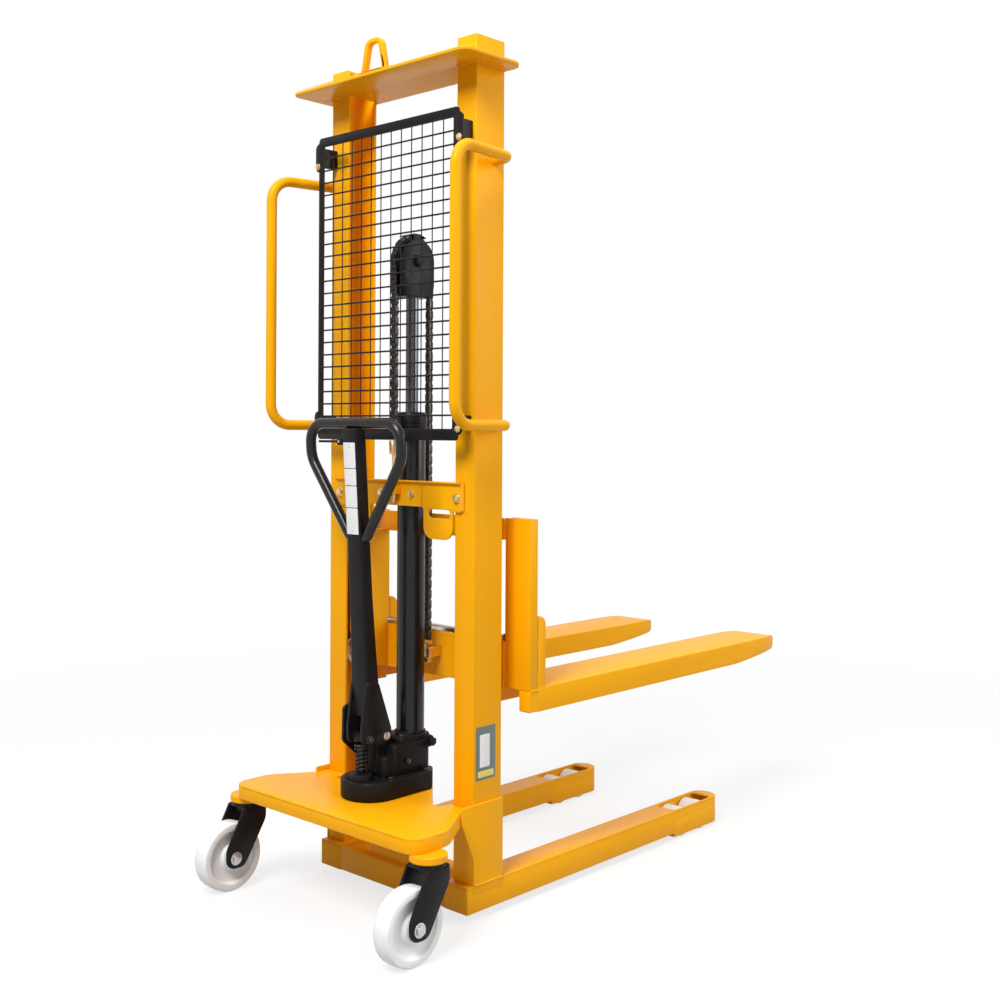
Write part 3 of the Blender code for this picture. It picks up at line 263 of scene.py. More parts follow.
def joined(name: str, pieces: list[bpy.types.Object]) -> bpy.types.Object:
    """Join pieces into the first one and name it."""
    only(pieces[0])
    for piece in pieces[1:]:
        piece.select_set(True)
    if len(pieces) > 1:
        bpy.ops.object.join()
    pieces[0].name = name
    pieces[0].data.name = name
    return pieces[0]


def repeated(piece: bpy.types.Object, count: int, step: Vector) -> bpy.types.Object:
    """Repeat a piece in a straight row."""
    array = piece.modifiers.new("row", "ARRAY")
    array.count = count
    array.use_relative_offset = False
    array.use_constant_offset = True
    array.constant_offset_displace = step
    only(piece)
    bpy.ops.object.modifier_apply(modifier=array.name)
    return piece


def block(name: str, low: tuple, high: tuple, edge: float = 0.001, segments: int = 2) -> bpy.types.Object:
    """A box between two corners with softened edges."""
    bpy.ops.object.select_all(action="DESELECT")
    size = Vector(high) - Vector(low)
    bpy.ops.mesh.primitive_cube_add(size=1, location=Vector(low) + size / 2)
    bpy.context.active_object.scale = size
    return soften(started(name), edge, segments)


def bar(name: str, radius: float, start: tuple, end: tuple, edge: float = 0.0008,
        sides: int = 32) -> bpy.types.Object:
    """A round or many-sided bar between two points with softened rims."""
    bpy.ops.object.select_all(action="DESELECT")
    run = Vector(end) - Vector(start)
    bpy.ops.mesh.primitive_cylinder_add(
        vertices=sides, radius=radius, depth=run.length, location=Vector(start) + run / 2,
        rotation=run.to_track_quat("Z", "Y").to_euler())
    return soften(started(name), edge, 2, 40)


def converted(curve: bpy.types.Curve, name: str) -> bpy.types.Object:
    """Turn a curve into a settled mesh object."""
    obj = bpy.data.objects.new(name, curve)
    bpy.context.scene.collection.objects.link(obj)
    only(obj)
    bpy.ops.object.convert(target="MESH")
    obj = bpy.context.active_object
    obj.data.name = name
    return settle(obj)


def plate(name: str, outlines: list[list[Vector]], low: float, high: float, axis: Axis,
          edge: float = 0.001) -> bpy.types.Object:
    """A plate with softened edges: the first outline, less the others as holes.

    Args:
        name: The piece's name.
        outlines: (y, z) points across X, (x, z) across Y, (x, y) across Z.
        low: Lower face along the axis.
        high: Upper face along the axis.
        axis: The axis that the plate faces.
        edge: Radius of its edges.

    Returns:
        The plate.
    """
    curve = bpy.data.curves.new(name, "CURVE")
    curve.dimensions = "2D"
    curve.fill_mode = "BOTH"
    curve.extrude = (high - low) / 2 - edge
    curve.bevel_depth = edge
    curve.bevel_resolution = 1
    curve.offset = -edge
    for outline in outlines:
        spline = curve.splines.new("POLY")
        spline.points.add(len(outline) - 1)
        for point, place in zip(spline.points, outline):
            point.co = (place[0], place[1], 0, 1)
        spline.use_cyclic_u = True
    obj = converted(curve, name)
    obj.data.transform(Matrix.Translation(axis.vector() * (low + high) / 2) @ axis.facing())
    return settle(obj)


def tube(name: str, route: list[Vector], radius: float, sides: int = 20,
         swell: list[float] | None = None) -> bpy.types.Object:
    """A round bar along a route, capped at both ends.

    Args:
        name: The piece's name.
        route: Points of the centre line.
        radius: Radius of the bar.
        sides: Sides of its section.
        swell: A factor on the radius at each point.

    Returns:
        The bar.
    """
    curve = bpy.data.curves.new(name, "CURVE")
    curve.dimensions = "3D"
    curve.bevel_depth = radius
    curve.bevel_resolution = (sides - 4) // 2
    curve.use_fill_caps = True
    spline = curve.splines.new("POLY")
    spline.points.add(len(route) - 1)
    for index, place in enumerate(route):
        spline.points[index].co = (*place, 1)
        spline.points[index].radius = swell[index] if swell else 1
    return converted(curve, name)


def bead(name: str, corners: list[tuple], size: float = 0.0022, pitch: float = 0.0035) -> bpy.types.Object:
    """A rippled weld bead laid along straight runs between corners."""
    route: list[Vector] = []
    swell: list[float] = []
    for start, end in zip(corners, corners[1:]):
        run = Vector(end) - Vector(start)
        steps = max(int(run.length / pitch), 1) * 2
        for step in range(steps):
            route.append(Vector(start) + run * step / steps)
            swell.append(1.18 if len(route) % 2 else 0.86)
    route.append(Vector(corners[-1]))
    swell.append(0.7)
    return tube(name, route, size, 8, swell)


def turned(name: str, profile: list[Point], centre: tuple, axis: Axis, sides: int = 56) -> bpy.types.Object:
    """Turn a profile about an axis.

    Args:
        name: The piece's name.
        profile: (radius, along) points; it is closed unless both ends lie on the axis.
        centre: The profile's zero on the axis.
        axis: The axis it turns about.
        sides: Steps in a full turn.

    Returns:
        The turned piece.
    """
    bpy.ops.object.select_all(action="DESELECT")
    bpy.ops.mesh.primitive_plane_add(size=0.001)
    obj = started(name)
    bpy.ops.object.mode_set(mode="EDIT")
    bpy.ops.mesh.select_all(action="SELECT")
    bpy.ops.mesh.merge(type="CENTER")
    places = [Vector((radius, 0, along)) for radius, along in profile]
    if profile[0][0] > 0 and profile[-1][0] > 0:
        places.append(places[0])
    bpy.ops.transform.translate(value=places[0])
    for before, after in zip(places, places[1:]):
        bpy.ops.mesh.extrude_vertices_move(TRANSFORM_OT_translate={"value": after - before})
    bpy.ops.mesh.select_all(action="SELECT")
    bpy.ops.mesh.spin(steps=sides, angle=2 * pi, center=(0, 0, 0), axis=(0, 0, 1))
    bpy.ops.object.mode_set(mode="OBJECT")
    turn = {"X": Matrix.Rotation(pi / 2, 4, "Y"), "Y": Matrix.Rotation(-pi / 2, 4, "X"),
            "Z": Matrix.Identity(4)}
    obj.data.transform(Matrix.Translation(centre) @ turn[axis.value])
    return settle(obj)


def bolt(name: str, across: float, height: float, seat: tuple, axis: Axis, way: int = 1,
         washer: bool = True) -> bpy.types.Object:
    """A chamfered hexagon head on a washer.

    Args:
        name: The piece's name.
        across: Radius over the corners.
        height: Height of the head.
        seat: The point on the face it sits on.
        axis: The bolt's axis.
        way: 1 when the head points along the axis, -1 when against it.
        washer: Whether a washer lies under the head.

    Returns:
        The bolt's head.
    """
    ahead = axis.vector() * way
    base = Vector(seat)
    thick = height * 0.22 if washer else 0.0
    head = bar(name, across, base + ahead * thick, base + ahead * (thick + height), across * 0.09, 6)
    if washer:
        return joined(name,
                      [head, bar("washer", across * 1.28, base, base + ahead * thick, thick * 0.25, 28)])
    return head


# --- Finishes ------------------------------------------------------------------------------------------
class Graph:
    """A material's node tree, written as calls."""

    def __init__(self, name: str) -> None:
        """Start a material with its Principled shader."""
        self.material = bpy.data.materials.new(name)
        self.material.use_nodes = True
        self.tree = self.material.node_tree
        self.shader = self.tree.nodes["Principled BSDF"]

    def node(self, kind: str, settings: dict | None = None, **inputs: object) -> bpy.types.Node:
        """Add a node.

        Args:
            kind: The node's type.
            settings: Its properties.
            inputs: Its sockets by name, with underscores for spaces; a socket value is linked.

        Returns:
            The node.
        """
        made = self.tree.nodes.new(kind)
        for key, value in (settings or {}).items():
            setattr(made, key, value)
        for key, value in inputs.items():
            self.put(made, key.replace("_", " "), value)
        return made

    def put(self, node: bpy.types.Node, socket: str | int, value: object) -> None:
        """Set or link one socket."""
        target = node.inputs[int(socket)] if str(socket).isdigit() else node.inputs[socket]
        if isinstance(value, bpy.types.NodeSocket):
            self.tree.links.new(value, target)
        else:
            target.default_value = value

    def place(self, scale: tuple = (1, 1, 1), shift: tuple = (0, 0, 0)) -> bpy.types.NodeSocket:
        """Object coordinates, scaled and shifted."""
        coordinates = self.node("ShaderNodeTexCoord")
        mapping = self.node("ShaderNodeMapping", Vector=coordinates.outputs["Object"])
        mapping.inputs["Scale"].default_value = scale
        mapping.inputs["Location"].default_value = shift
        return mapping.outputs["Vector"]

    def noise(self, scale: float, detail: float = 3, rough: float = 0.55,
              place: bpy.types.NodeSocket | None = None) -> bpy.types.NodeSocket:
        """Noise between 0 and 1."""
        made = self.node("ShaderNodeTexNoise", Vector=place or self.place(), Scale=scale, Detail=detail,
                         Roughness=rough)
        return made.outputs["Fac"]

    def band(self, value: bpy.types.NodeSocket, low: float, high: float, start: float = 0,
             end: float = 1) -> bpy.types.NodeSocket:
        """Stretch a value from one band to another, clamped."""
        made = self.node("ShaderNodeMapRange", {"clamp": True})
        for socket, number in zip(("Value", "From Min", "From Max", "To Min", "To Max"),
                                  (value, low, high, start, end)):
            self.put(made, socket, number)
        return made.outputs["Result"]

    def blend(self, amount: object, first: object, second: object, mode: str = "MIX") -> bpy.types.NodeSocket:
        """Mix two colours."""
        made = self.node("ShaderNodeMix", {"data_type": "RGBA", "blend_type": mode})
        self.put(made, 0, amount)
        self.put(made, 6, first)
        self.put(made, 7, second)
        return made.outputs[2]

    def bump(self, height: bpy.types.NodeSocket, strength: float, distance: float,
             under: bpy.types.NodeSocket | None = None) -> bpy.types.NodeSocket:
        """A bump over another bump."""
        made = self.node("ShaderNodeBump", Height=height, Strength=strength, Distance=distance)
        if under:
            self.put(made, "Normal", under)
        return made.outputs["Normal"]

    def edges(self, radius: float = 0.003) -> bpy.types.NodeSocket:
        """1 along edges, 0 on flat and gently curved faces."""
        turned_away = self.node("ShaderNodeVectorMath", {"operation": "DOT_PRODUCT"})
        self.put(turned_away, 0,
                 self.node("ShaderNodeBevel", {"samples": 4}, Radius=radius).outputs["Normal"])
        self.put(turned_away, 1, self.node("ShaderNodeNewGeometry").outputs["Normal"])
        return self.band(turned_away.outputs["Value"], 0.99, 0.86)

    def feed(self, **inputs: object) -> None:
        """Set or link the shader's own sockets."""
        for key, value in inputs.items():
            self.put(self.shader, key.replace("_", " "), value)


def tint(colour: tuple, factor: float) -> tuple:
    """A colour scaled by a factor, with alpha 1."""
    return (*[min(channel * factor, 1.0) for channel in colour], 1.0)


@dataclass(frozen=True)
class Finish:
    """A surface finish: a procedural material and the record's slot it stands for."""

    name: str
    slot: str
    colour: tuple[float, float, float]
    roughness: float = 0.4

    def material(self) -> bpy.types.Material:
        """The finish's material, made once."""
        return bpy.data.materials.get(self.name) or self.compose(Graph(self.name))

    def compose(self, graph: Graph) -> bpy.types.Material:
        """Write the material's nodes."""
        raise NotImplementedError


@dataclass(frozen=True)
class Paint(Finish):
    """Powder coat: orange peel, a slow drift of tone, and edges lightened towards pale tan as thin wear and a
    painted highlight.
    """

    drift: float = 0.04
    peel: float = 0.05
    wear: float = 0.35

    def compose(self, graph: Graph) -> bpy.types.Material:
        """Write the material's nodes."""
        slow = graph.noise(2.6, 2)
        fine = graph.noise(38, 5, 0.6)
        body = graph.blend(graph.band(slow, 0.3, 0.7), tint(self.colour, 1 - self.drift),
                           tint(self.colour, 1.0))
        body = graph.blend(graph.band(fine, 0.50, 0.85, 0, 0.10), body, tint(self.colour, 0.84))
        # Edge mask times patchy noise: edges lightened towards pale tan, part worn paint and part painted
        # highlight.
        edge_wear_and_highlight = graph.node("ShaderNodeMath", {"operation": "MULTIPLY"})
        graph.put(edge_wear_and_highlight, 0, graph.edges())
        graph.put(edge_wear_and_highlight, 1, graph.band(graph.noise(55, 4), 0.45, 0.62, 0, self.wear))
        body = graph.blend(edge_wear_and_highlight.outputs[0], body, tint((0.86, 0.62, 0.30), 1.0))
        scuff = graph.noise(7, 8, 0.75, graph.place((6, 6, 1)))
        rough = graph.band(scuff, 0.3, 0.7, self.roughness - 0.07, self.roughness + 0.10)
        peel = graph.bump(graph.noise(520, 2), self.peel, 0.0006)
        sag = graph.bump(graph.noise(60, 2), 0.03, 0.002, peel)
        graph.feed(Base_Color=body, Roughness=rough, Normal=sag, Specular_IOR_Level=0.13)
        return graph.material


@dataclass(frozen=True)
class Enamel(Finish):
    """Black enamel over steel or a casting, its edges lightened to grey as rubbed wear and a painted highlight.
    """

    grain: float = 0.06
    grain_scale: float = 420.0
    grain_depth: float = 0.0006
    shine: float = 0.15

    def compose(self, graph: Graph) -> bpy.types.Material:
        """Write the material's nodes."""
        cloud = graph.noise(16, 6, 0.62)
        body = graph.blend(graph.band(cloud, 0.35, 0.80), tint(self.colour, 1.0), tint(self.colour, 1.5))
        # Edge mask times patchy noise: edges lightened to grey, part rubbed enamel and part painted highlight.
        edge_rub_and_highlight = graph.node("ShaderNodeMath", {"operation": "MULTIPLY"})
        graph.put(edge_rub_and_highlight, 0, graph.edges())
        graph.put(edge_rub_and_highlight, 1, graph.band(graph.noise(70, 3), 0.46, 0.64, 0, 0.55))
        body = graph.blend(edge_rub_and_highlight.outputs[0], body, (0.075, 0.072, 0.072, 1))
        rough = graph.band(graph.noise(24, 6, 0.7), 0.3, 0.75, self.roughness - 0.08, self.roughness + 0.14)
        grain = graph.bump(graph.noise(self.grain_scale, 3), self.grain, self.grain_depth)
        graph.feed(Base_Color=body, Roughness=rough, Normal=grain, Specular_IOR_Level=self.shine)
        return graph.material


@dataclass(frozen=True)
class Steel(Finish):
    """Ground or plated steel with fine lines along one direction."""

    lines: tuple[float, float, float] = (900, 900, 12)
    patina: tuple[float, float, float] = (0.42, 0.40, 0.38)

    def compose(self, graph: Graph) -> bpy.types.Material:
        """Write the material's nodes."""
        cloud = graph.noise(30, 5)
        body = graph.blend(graph.band(cloud, 0.42, 0.72, 0, 0.7), tint(self.colour, 1.0),
                           tint(self.patina, 1.0))
        streak = graph.noise(1.0, 2, 0.5, graph.place(self.lines))
        rough = graph.band(streak, 0.25, 0.75, self.roughness - 0.06, self.roughness + 0.12)
        graph.feed(Base_Color=body, Roughness=rough, Metallic=1.0, Normal=graph.bump(streak, 0.12, 0.0002))
        return graph.material


@dataclass(frozen=True)
class Nylon(Finish):
    """Turned white nylon, faintly waxy and slightly soiled."""

    soil: tuple[float, float, float] = (0.78, 0.775, 0.755)

    def compose(self, graph: Graph) -> bpy.types.Material:
        """Write the material's nodes."""
        cloud = graph.noise(22, 6, 0.65)
        body = graph.blend(graph.band(cloud, 0.52, 0.80, 0, 0.45), tint(self.colour, 1.0),
                           tint(self.soil, 1.0))
        body = graph.blend(graph.band(graph.noise(160, 4), 0.60, 0.75, 0, 0.25), body, tint(self.soil, 0.8))
        rough = graph.band(cloud, 0.3, 0.7, self.roughness - 0.08, self.roughness + 0.12)
        lines = graph.bump(graph.noise(1.0, 2, 0.5, graph.place((1500, 60, 60))), 0.10, 0.0002)
        graph.feed(Base_Color=body, Roughness=rough, Normal=lines, Subsurface_Weight=0.10,
                   Subsurface_Scale=0.004)
        return graph.material


@dataclass(frozen=True)
class Card(Finish):
    """A bare laminated card or film: plain, with a soft sheen and a faint emboss."""

    def compose(self, graph: Graph) -> bpy.types.Material:
        """Write the material's nodes."""
        cloud = graph.noise(60, 4)
        body = graph.blend(graph.band(cloud, 0.45, 0.75, 0, 0.4), tint(self.colour, 1.0),
                           tint(self.colour, 0.88))
        rough = graph.band(cloud, 0.3, 0.7, self.roughness - 0.05, self.roughness + 0.08)
        graph.feed(Base_Color=body, Roughness=rough, Normal=graph.bump(graph.noise(300, 2), 0.05, 0.0004),
                   Coat_Weight=0.3, Coat_Roughness=0.12)
        return graph.material


YELLOW = Paint("yellow_coat", "yellow_paint", (0.965, 0.432, 0.002), 0.36)
BLACK = Enamel("black_enamel", "black_paint", (0.0070, 0.0058, 0.0064), 0.36)
GLOSS = Enamel("gloss_enamel", "black_paint", (0.0065, 0.0056, 0.0060), 0.22, 0.05, 300.0, 0.0005, 0.34)
CAST = Enamel("black_casting", "black_paint", (0.0062, 0.0052, 0.0056), 0.46, 0.35, 130.0, 0.0016)
GROUND = Steel("ground_steel", "steel", (0.66, 0.66, 0.67), 0.24)
CHROME = Steel("black_chrome", "steel", (0.115, 0.118, 0.135), 0.20, (60, 60, 500), (0.085, 0.085, 0.095))
BLUED = Steel("blued_steel", "steel", (0.050, 0.046, 0.045), 0.40, (400, 400, 60), (0.030, 0.026, 0.024))
PLATED = Steel("plated_steel", "steel", (0.55, 0.55, 0.56), 0.32, (220, 220, 220))
LEAF = Steel("oiled_chain", "chain", (0.085, 0.08, 0.078), 0.36, (500, 500, 40), (0.05, 0.035, 0.025))
ZINC = Steel("yellow_zinc", "zinc", (0.80, 0.58, 0.26), 0.30, (260, 260, 260), (0.70, 0.55, 0.36))
NYLON = Nylon("turned_nylon", "nylon", (0.93, 0.93, 0.925), 0.40)
FILM = Card("bare_film", "nylon", (0.80, 0.80, 0.79), 0.30)
FILM_GREY = Card("bare_film_grey", "nylon", (0.11, 0.15, 0.135), 0.32)
FILM_YELLOW = Card("bare_film_yellow", "nylon", (0.80, 0.62, 0.10), 0.32)


@dataclass(frozen=True)
class Crossing:
    """Two bodies that carry one stretching piece, and the ends of the stretch."""

    first: str
    second: str
    start: tuple[float, float, float]
    end: tuple[float, float, float]


def framed(point: tuple) -> tuple:
    """A point measured from the mast, in the frame's own place."""
    return (point[0], point[1] + MAST_REAR, point[2])


def fit(piece: bpy.types.Object, body: str | Crossing, finish: Finish, *nodes: str,
        angle: float = 38) -> bpy.types.Object:
    """Finish a piece: shade it, dress it, put it in the frame's place and hang it on its body.

    Args:
        piece: The modelled piece, still measured from the mast's rear face.
        body: The frame body that carries it, or the crossing that it stretches over.
        finish: Its surface finish.
        nodes: Frame nodes that it stands for.
        angle: Edges sharper than this stay crisp, in degrees.

    Returns:
        The finished piece.
    """
    only(piece)
    bpy.ops.object.shade_smooth_by_angle(angle=radians(angle))
    piece.data.transform(Matrix.Translation((0, MAST_REAR, 0)))
    piece.data.materials.clear()
    piece.data.materials.append(finish.material())
    if isinstance(body, Crossing):
        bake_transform(piece)
    else:
        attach(piece, body)
    if nodes:
        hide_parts(*nodes)
    LOG.info("%s on %s: %d faces", piece.name, body, len(piece.data.polygons))
    return piece


# --- Sub-assemblies ------------------------------------------------------------------------------------
@dataclass
class Mast:
    """Two rolled channels, their head plate, lifting eye and tie."""

    half: float = POST_HALF
    depth: float = 0.093
    flange: float = 0.060
    web: float = 0.007
    wall: float = 0.009
    foot: float = 0.0793
    top: float = 1.966
    head: float = 1.903
    head_wall: float = 0.008
    head_half: float = 0.298

    def channel(self, name: str, side: int) -> None:
        """Make one mast channel with rolled corners."""
        inner = self.half - self.flange
        web = self.half - self.web
        corners = [(self.half, 0, 0.0035), (self.half, self.depth, 0.0035), (inner, self.depth, 0.002),
                   (inner, self.depth - self.wall, 0.004), (web, self.depth - self.wall, 0.006),
                   (web, self.wall, 0.006), (inner, self.wall, 0.004), (inner, 0, 0.002)]
        piece = plate(f"post_{name}", [mirrored(rounded(corners, 4), side)], self.foot, self.top, Axis.Z,
                      0.0007)
        fit(piece, "chassis", YELLOW, f"mast_channel_{name}")
        low, high = span(side, inner + SEAT_GAP, web - 0.0004)
        cap = block(f"post_cap_{name}", (low, self.wall + 0.0006, self.top - 0.007),
                    (high, self.depth - self.wall - 0.0006, self.top - 0.001), 0.001)
        fit(cap, "chassis", YELLOW)

    def head_plate(self) -> None:
        """Make the head plate, cut round the posts, with its weld beads."""
        half = self.head_half
        outline = rounded([(-half, -0.088, 0.024), (half, -0.088, 0.024), (half, 0.105, 0.035),
                           (-half, 0.105, 0.035)], 12)
        holes = []
        for _, side in SIDES:
            low, high = span(side, self.half - self.flange - SEAT_GAP, self.half + SEAT_GAP)
            holes.append(rounded([(low, -SEAT_GAP, 0.002), (low, self.depth + SEAT_GAP, 0.002),
                                  (high, self.depth + SEAT_GAP, 0.002), (high, -SEAT_GAP, 0.002)], 2))
        piece = plate("head_plate", [outline, *holes], self.head, self.head + self.head_wall, Axis.Z, 0.0022)
        fit(piece, "chassis", YELLOW, "mast_top_plate")
        for name, side in SIDES:
            inner = side * (self.half - self.flange)
            outer = side * (self.half + 0.001)
            for level, z in (("upper", self.head + self.head_wall), ("lower", self.head)):
                seam = bead(f"head_weld_{name}_{level}",
                            [(inner, -0.001, z), (outer, -0.001, z), (outer, self.depth + 0.001, z),
                             (inner, self.depth + 0.001, z)])
                fit(seam, "chassis", YELLOW)

    def eye(self) -> None:
        """Make the lifting eye, a flat bar bent to a narrow arch."""
        base = self.head + self.head_wall + SEAT_GAP
        top = base + 0.075
        outer = rounded([(-0.042, base, 0.001), (0.042, base, 0.001), (0.026, top, 0.023),
                         (-0.026, top, 0.023)], 12)
        inner = rounded([(-0.0295, base - 0.002, 0.001), (0.0295, base - 0.002, 0.001),
                         (0.0155, top - 0.011, 0.013), (-0.0155, top - 0.011, 0.013)], 12)
        arch = [p for p in outer if p.y > base + 0.0005]
        hollow = [p for p in inner if p.y > base + 0.0005]
        outline = [Vector((0.042, base)), *arch, Vector((-0.042, base)), Vector((-0.0295, base)),
                   *reversed(hollow), Vector((0.0295, base))]
        piece = plate("lifting_arch", [outline], -0.0865, -0.0715, Axis.Y, 0.0026)
        fit(piece, "chassis", YELLOW, "lifting_eye")
        for name, side in SIDES:
            seam = bead(f"eye_weld_{name}",
                        [(side * 0.029, -0.0870, base), (side * 0.043, -0.0870, base),
                         (side * 0.043, -0.0710, base), (side * 0.029, -0.0710, base)], 0.0018)
            fit(seam, "chassis", YELLOW)

    def tie(self) -> None:
        """Make the tie across the posts, its brackets, chain lug and the cylinder's clamp."""
        post = self.half - self.flange
        half = [(0.215, 0.969, 0.004), (0.215, 0.903, 0.010), (post - 0.002, 0.903, 0.002),
                (post - 0.002, 0.839, 0.028), (0.091, 0.839, 0.028), (0.091, 0.911, 0.008)]
        corners = half + [(-x, z, radius) for x, z, radius in reversed(half)]
        slots = []
        for _, side in SIDES:
            low, high = span(side, 0.107, 0.177)
            slots.append(rounded([(low, 0.887, 0.0088), (low, 0.907, 0.0088), (high, 0.907, 0.0088),
                                  (high, 0.887, 0.0088)], 8))
        piece = plate("post_tie", [rounded(corners), *slots], -0.0063, -SEAT_GAP, Axis.Y, 0.0014)
        piece = carve(piece, block("joint_gap", (0.0845, -0.02, 0.9105), (0.0875, 0.02, 0.98), 0))
        fit(piece, "chassis", YELLOW, "mast_tie")
        fold = plate("tie_fold",
                     [rounded([(-0.0125, 0.9655, 0.003), (-SEAT_GAP, 0.9655, 0.001), (-SEAT_GAP, 0.9705, 0.001),
                               (-0.0125, 0.9705, 0.0022)])], -0.212, 0.212, Axis.X, 0.0006)
        fit(fold, "chassis", YELLOW)
        lug = plate("chain_lug",
                    [rounded([(-0.016, -0.028, 0.006), (0.016, -0.028, 0.006), (0.016, -0.0065, 0.001),
                              (-0.016, -0.0065, 0.001)]), circle((0, -0.014), 0.0053)], 0.938, 0.958, Axis.Z)
        fit(lug, "chassis", YELLOW)
        arc = [Vector((0.0416 * cos(a), RAM_Y + 0.0416 * sin(a))) for a in angles(28, pi)]
        back = [Vector((0.0336 * cos(a), RAM_Y + 0.0336 * sin(a))) for a in angles(28, pi)]
        outline = [Vector((0.061, 0)), Vector((0.061, 0.008)), Vector((0.0416, 0.008)), *arc,
                   Vector((-0.0416, 0.008)), Vector((-0.061, 0.008)), Vector((-0.061, 0)),
                   Vector((-0.0336, 0)), *reversed(back), Vector((0.0336, 0))]
        strap = plate("cylinder_strap", [outline], 0.920, 0.960, Axis.Z, 0.0008)
        fit(strap, "chassis", YELLOW, "cylinder_clamp")
        for name, side in SIDES:
            fit(bolt(f"strap_bolt_{name}", 0.0075, 0.006, (side * 0.052, -0.0063, 0.940), Axis.Y, -1),
                "chassis", ZINC)
            fit(bolt(f"tie_bolt_{name}", 0.0085, 0.007, (side * 0.200, -0.0063, 0.936), Axis.Y, -1),
                "chassis", ZINC)
            seam = bead(f"tie_weld_{name}", [(side * 0.2155, -0.003, 0.968), (side * 0.2155, -0.003, 0.905)])
            fit(seam, "chassis", YELLOW)

    def build(self) -> None:
        """Make every piece of the mast."""
        for name, side in SIDES:
            self.channel(name, side)
        self.head_plate()
        self.eye()
        self.tie()


@dataclass
class Guard:
    """Black frame of bar with a welded wire mesh and zinc screws."""

    half: float = 0.239
    low: float = 1.064
    high: float = 1.797
    y: float = -0.045
    columns: int = 13
    rows: int = 23

    def build(self) -> None:
        """Make the guard."""
        clear = self.half - 0.016
        bottom = self.low + 0.026
        top = self.high - 0.022
        outer = rounded(rectangle(-self.half, self.low, self.half, self.high, 0.009))
        inner = rounded([(-clear, bottom, 0.003), (-clear, top, 0.003), (clear, top, 0.003),
                         (clear, bottom, 0.003)], 4)
        rim = plate("guard_rim", [outer, inner], self.y - 0.003, self.y + 0.003, Axis.Y, 0.0012)
        fit(rim, "chassis", BLACK, "guard_frame")
        for name, side in SIDES:
            for level, z0, z1 in (("top", 1.715, 1.785), ("foot", 1.076, 1.132)):
                low, high = span(side, 0.2255, 0.2375)
                tab = plate(f"guard_tab_{name}_{level}",
                            [rounded(rectangle(self.y - 0.002, z0 + 0.012, -0.0006, z1 - 0.012, 0.003), 4)],
                            low, high, Axis.X, 0.001)
                ear = plate(f"guard_ear_{name}_{level}",
                            [mirrored(rounded([(0.230, z0, 0.002), (0.2515, z0, 0.014), (0.2515, z1, 0.014),
                                               (0.230, z1, 0.002)], 8), side)], self.y - 0.0032,
                            self.y + 0.0028, Axis.Y, 0.0012)
                fit(joined(f"guard_lug_{name}_{level}", [tab, ear]), "chassis", BLACK)
                screw = bolt(f"guard_screw_{name}_{level}", 0.0062, 0.0042,
                             (side * 0.2415, self.y - 0.0032, z0 + 0.014), Axis.Y, -1)
                fit(screw, "chassis", ZINC)
        pitch = 2 * clear / self.columns
        upright = bar("wire", 0.0013, (-clear + pitch, self.y + 0.0012, bottom - 0.004),
                      (-clear + pitch, self.y + 0.0012, top + 0.004), 0, 8)
        upright = repeated(upright, self.columns - 1, Vector((pitch, 0, 0)))
        rise = (top - bottom) / self.rows
        cross = bar("wire", 0.0021, (-clear - 0.004, self.y - 0.0020, bottom + rise),
                    (clear + 0.004, self.y - 0.0020, bottom + rise), 0, 8)
        cross = repeated(cross, self.rows - 1, Vector((0, 0, rise)))
        fit(joined("guard_wires", [upright, cross]), "chassis", BLACK, "guard_mesh")


@dataclass
class PushHandle:
    """A bent-tube push handle welded to a post."""

    name: str
    side: int
    radius: float = 0.0125
    x: float = 0.315
    y: float = -0.132
    top: float = 1.696
    foot: float = 1.098

    def build(self) -> None:
        """Make the handle and its weld rings."""
        side = self.side
        knee = self.x - 0.030
        route = bent([(side * 0.2475, 0.066, self.top), (side * knee, 0.066, self.top),
                      (side * self.x, self.y, self.top), (side * self.x, self.y, self.foot),
                      (side * knee, 0.066, self.foot), (side * 0.2475, 0.066, self.foot)],
                     [0.022, 0.052, 0.052, 0.022])
        fit(tube(f"push_bar_{self.name}", route, self.radius, 24), "chassis", YELLOW,
            f"push_handle_{self.name}")
        for level, z in (("top", self.top), ("foot", self.foot)):
            ring = [(side * 0.2487, 0.066 + 0.0125 * cos(a),
                     z + 0.0125 * sin(a)) for a in angles(18)]
            fit(bead(f"push_weld_{self.name}_{level}", ring, 0.0021), "chassis", YELLOW)


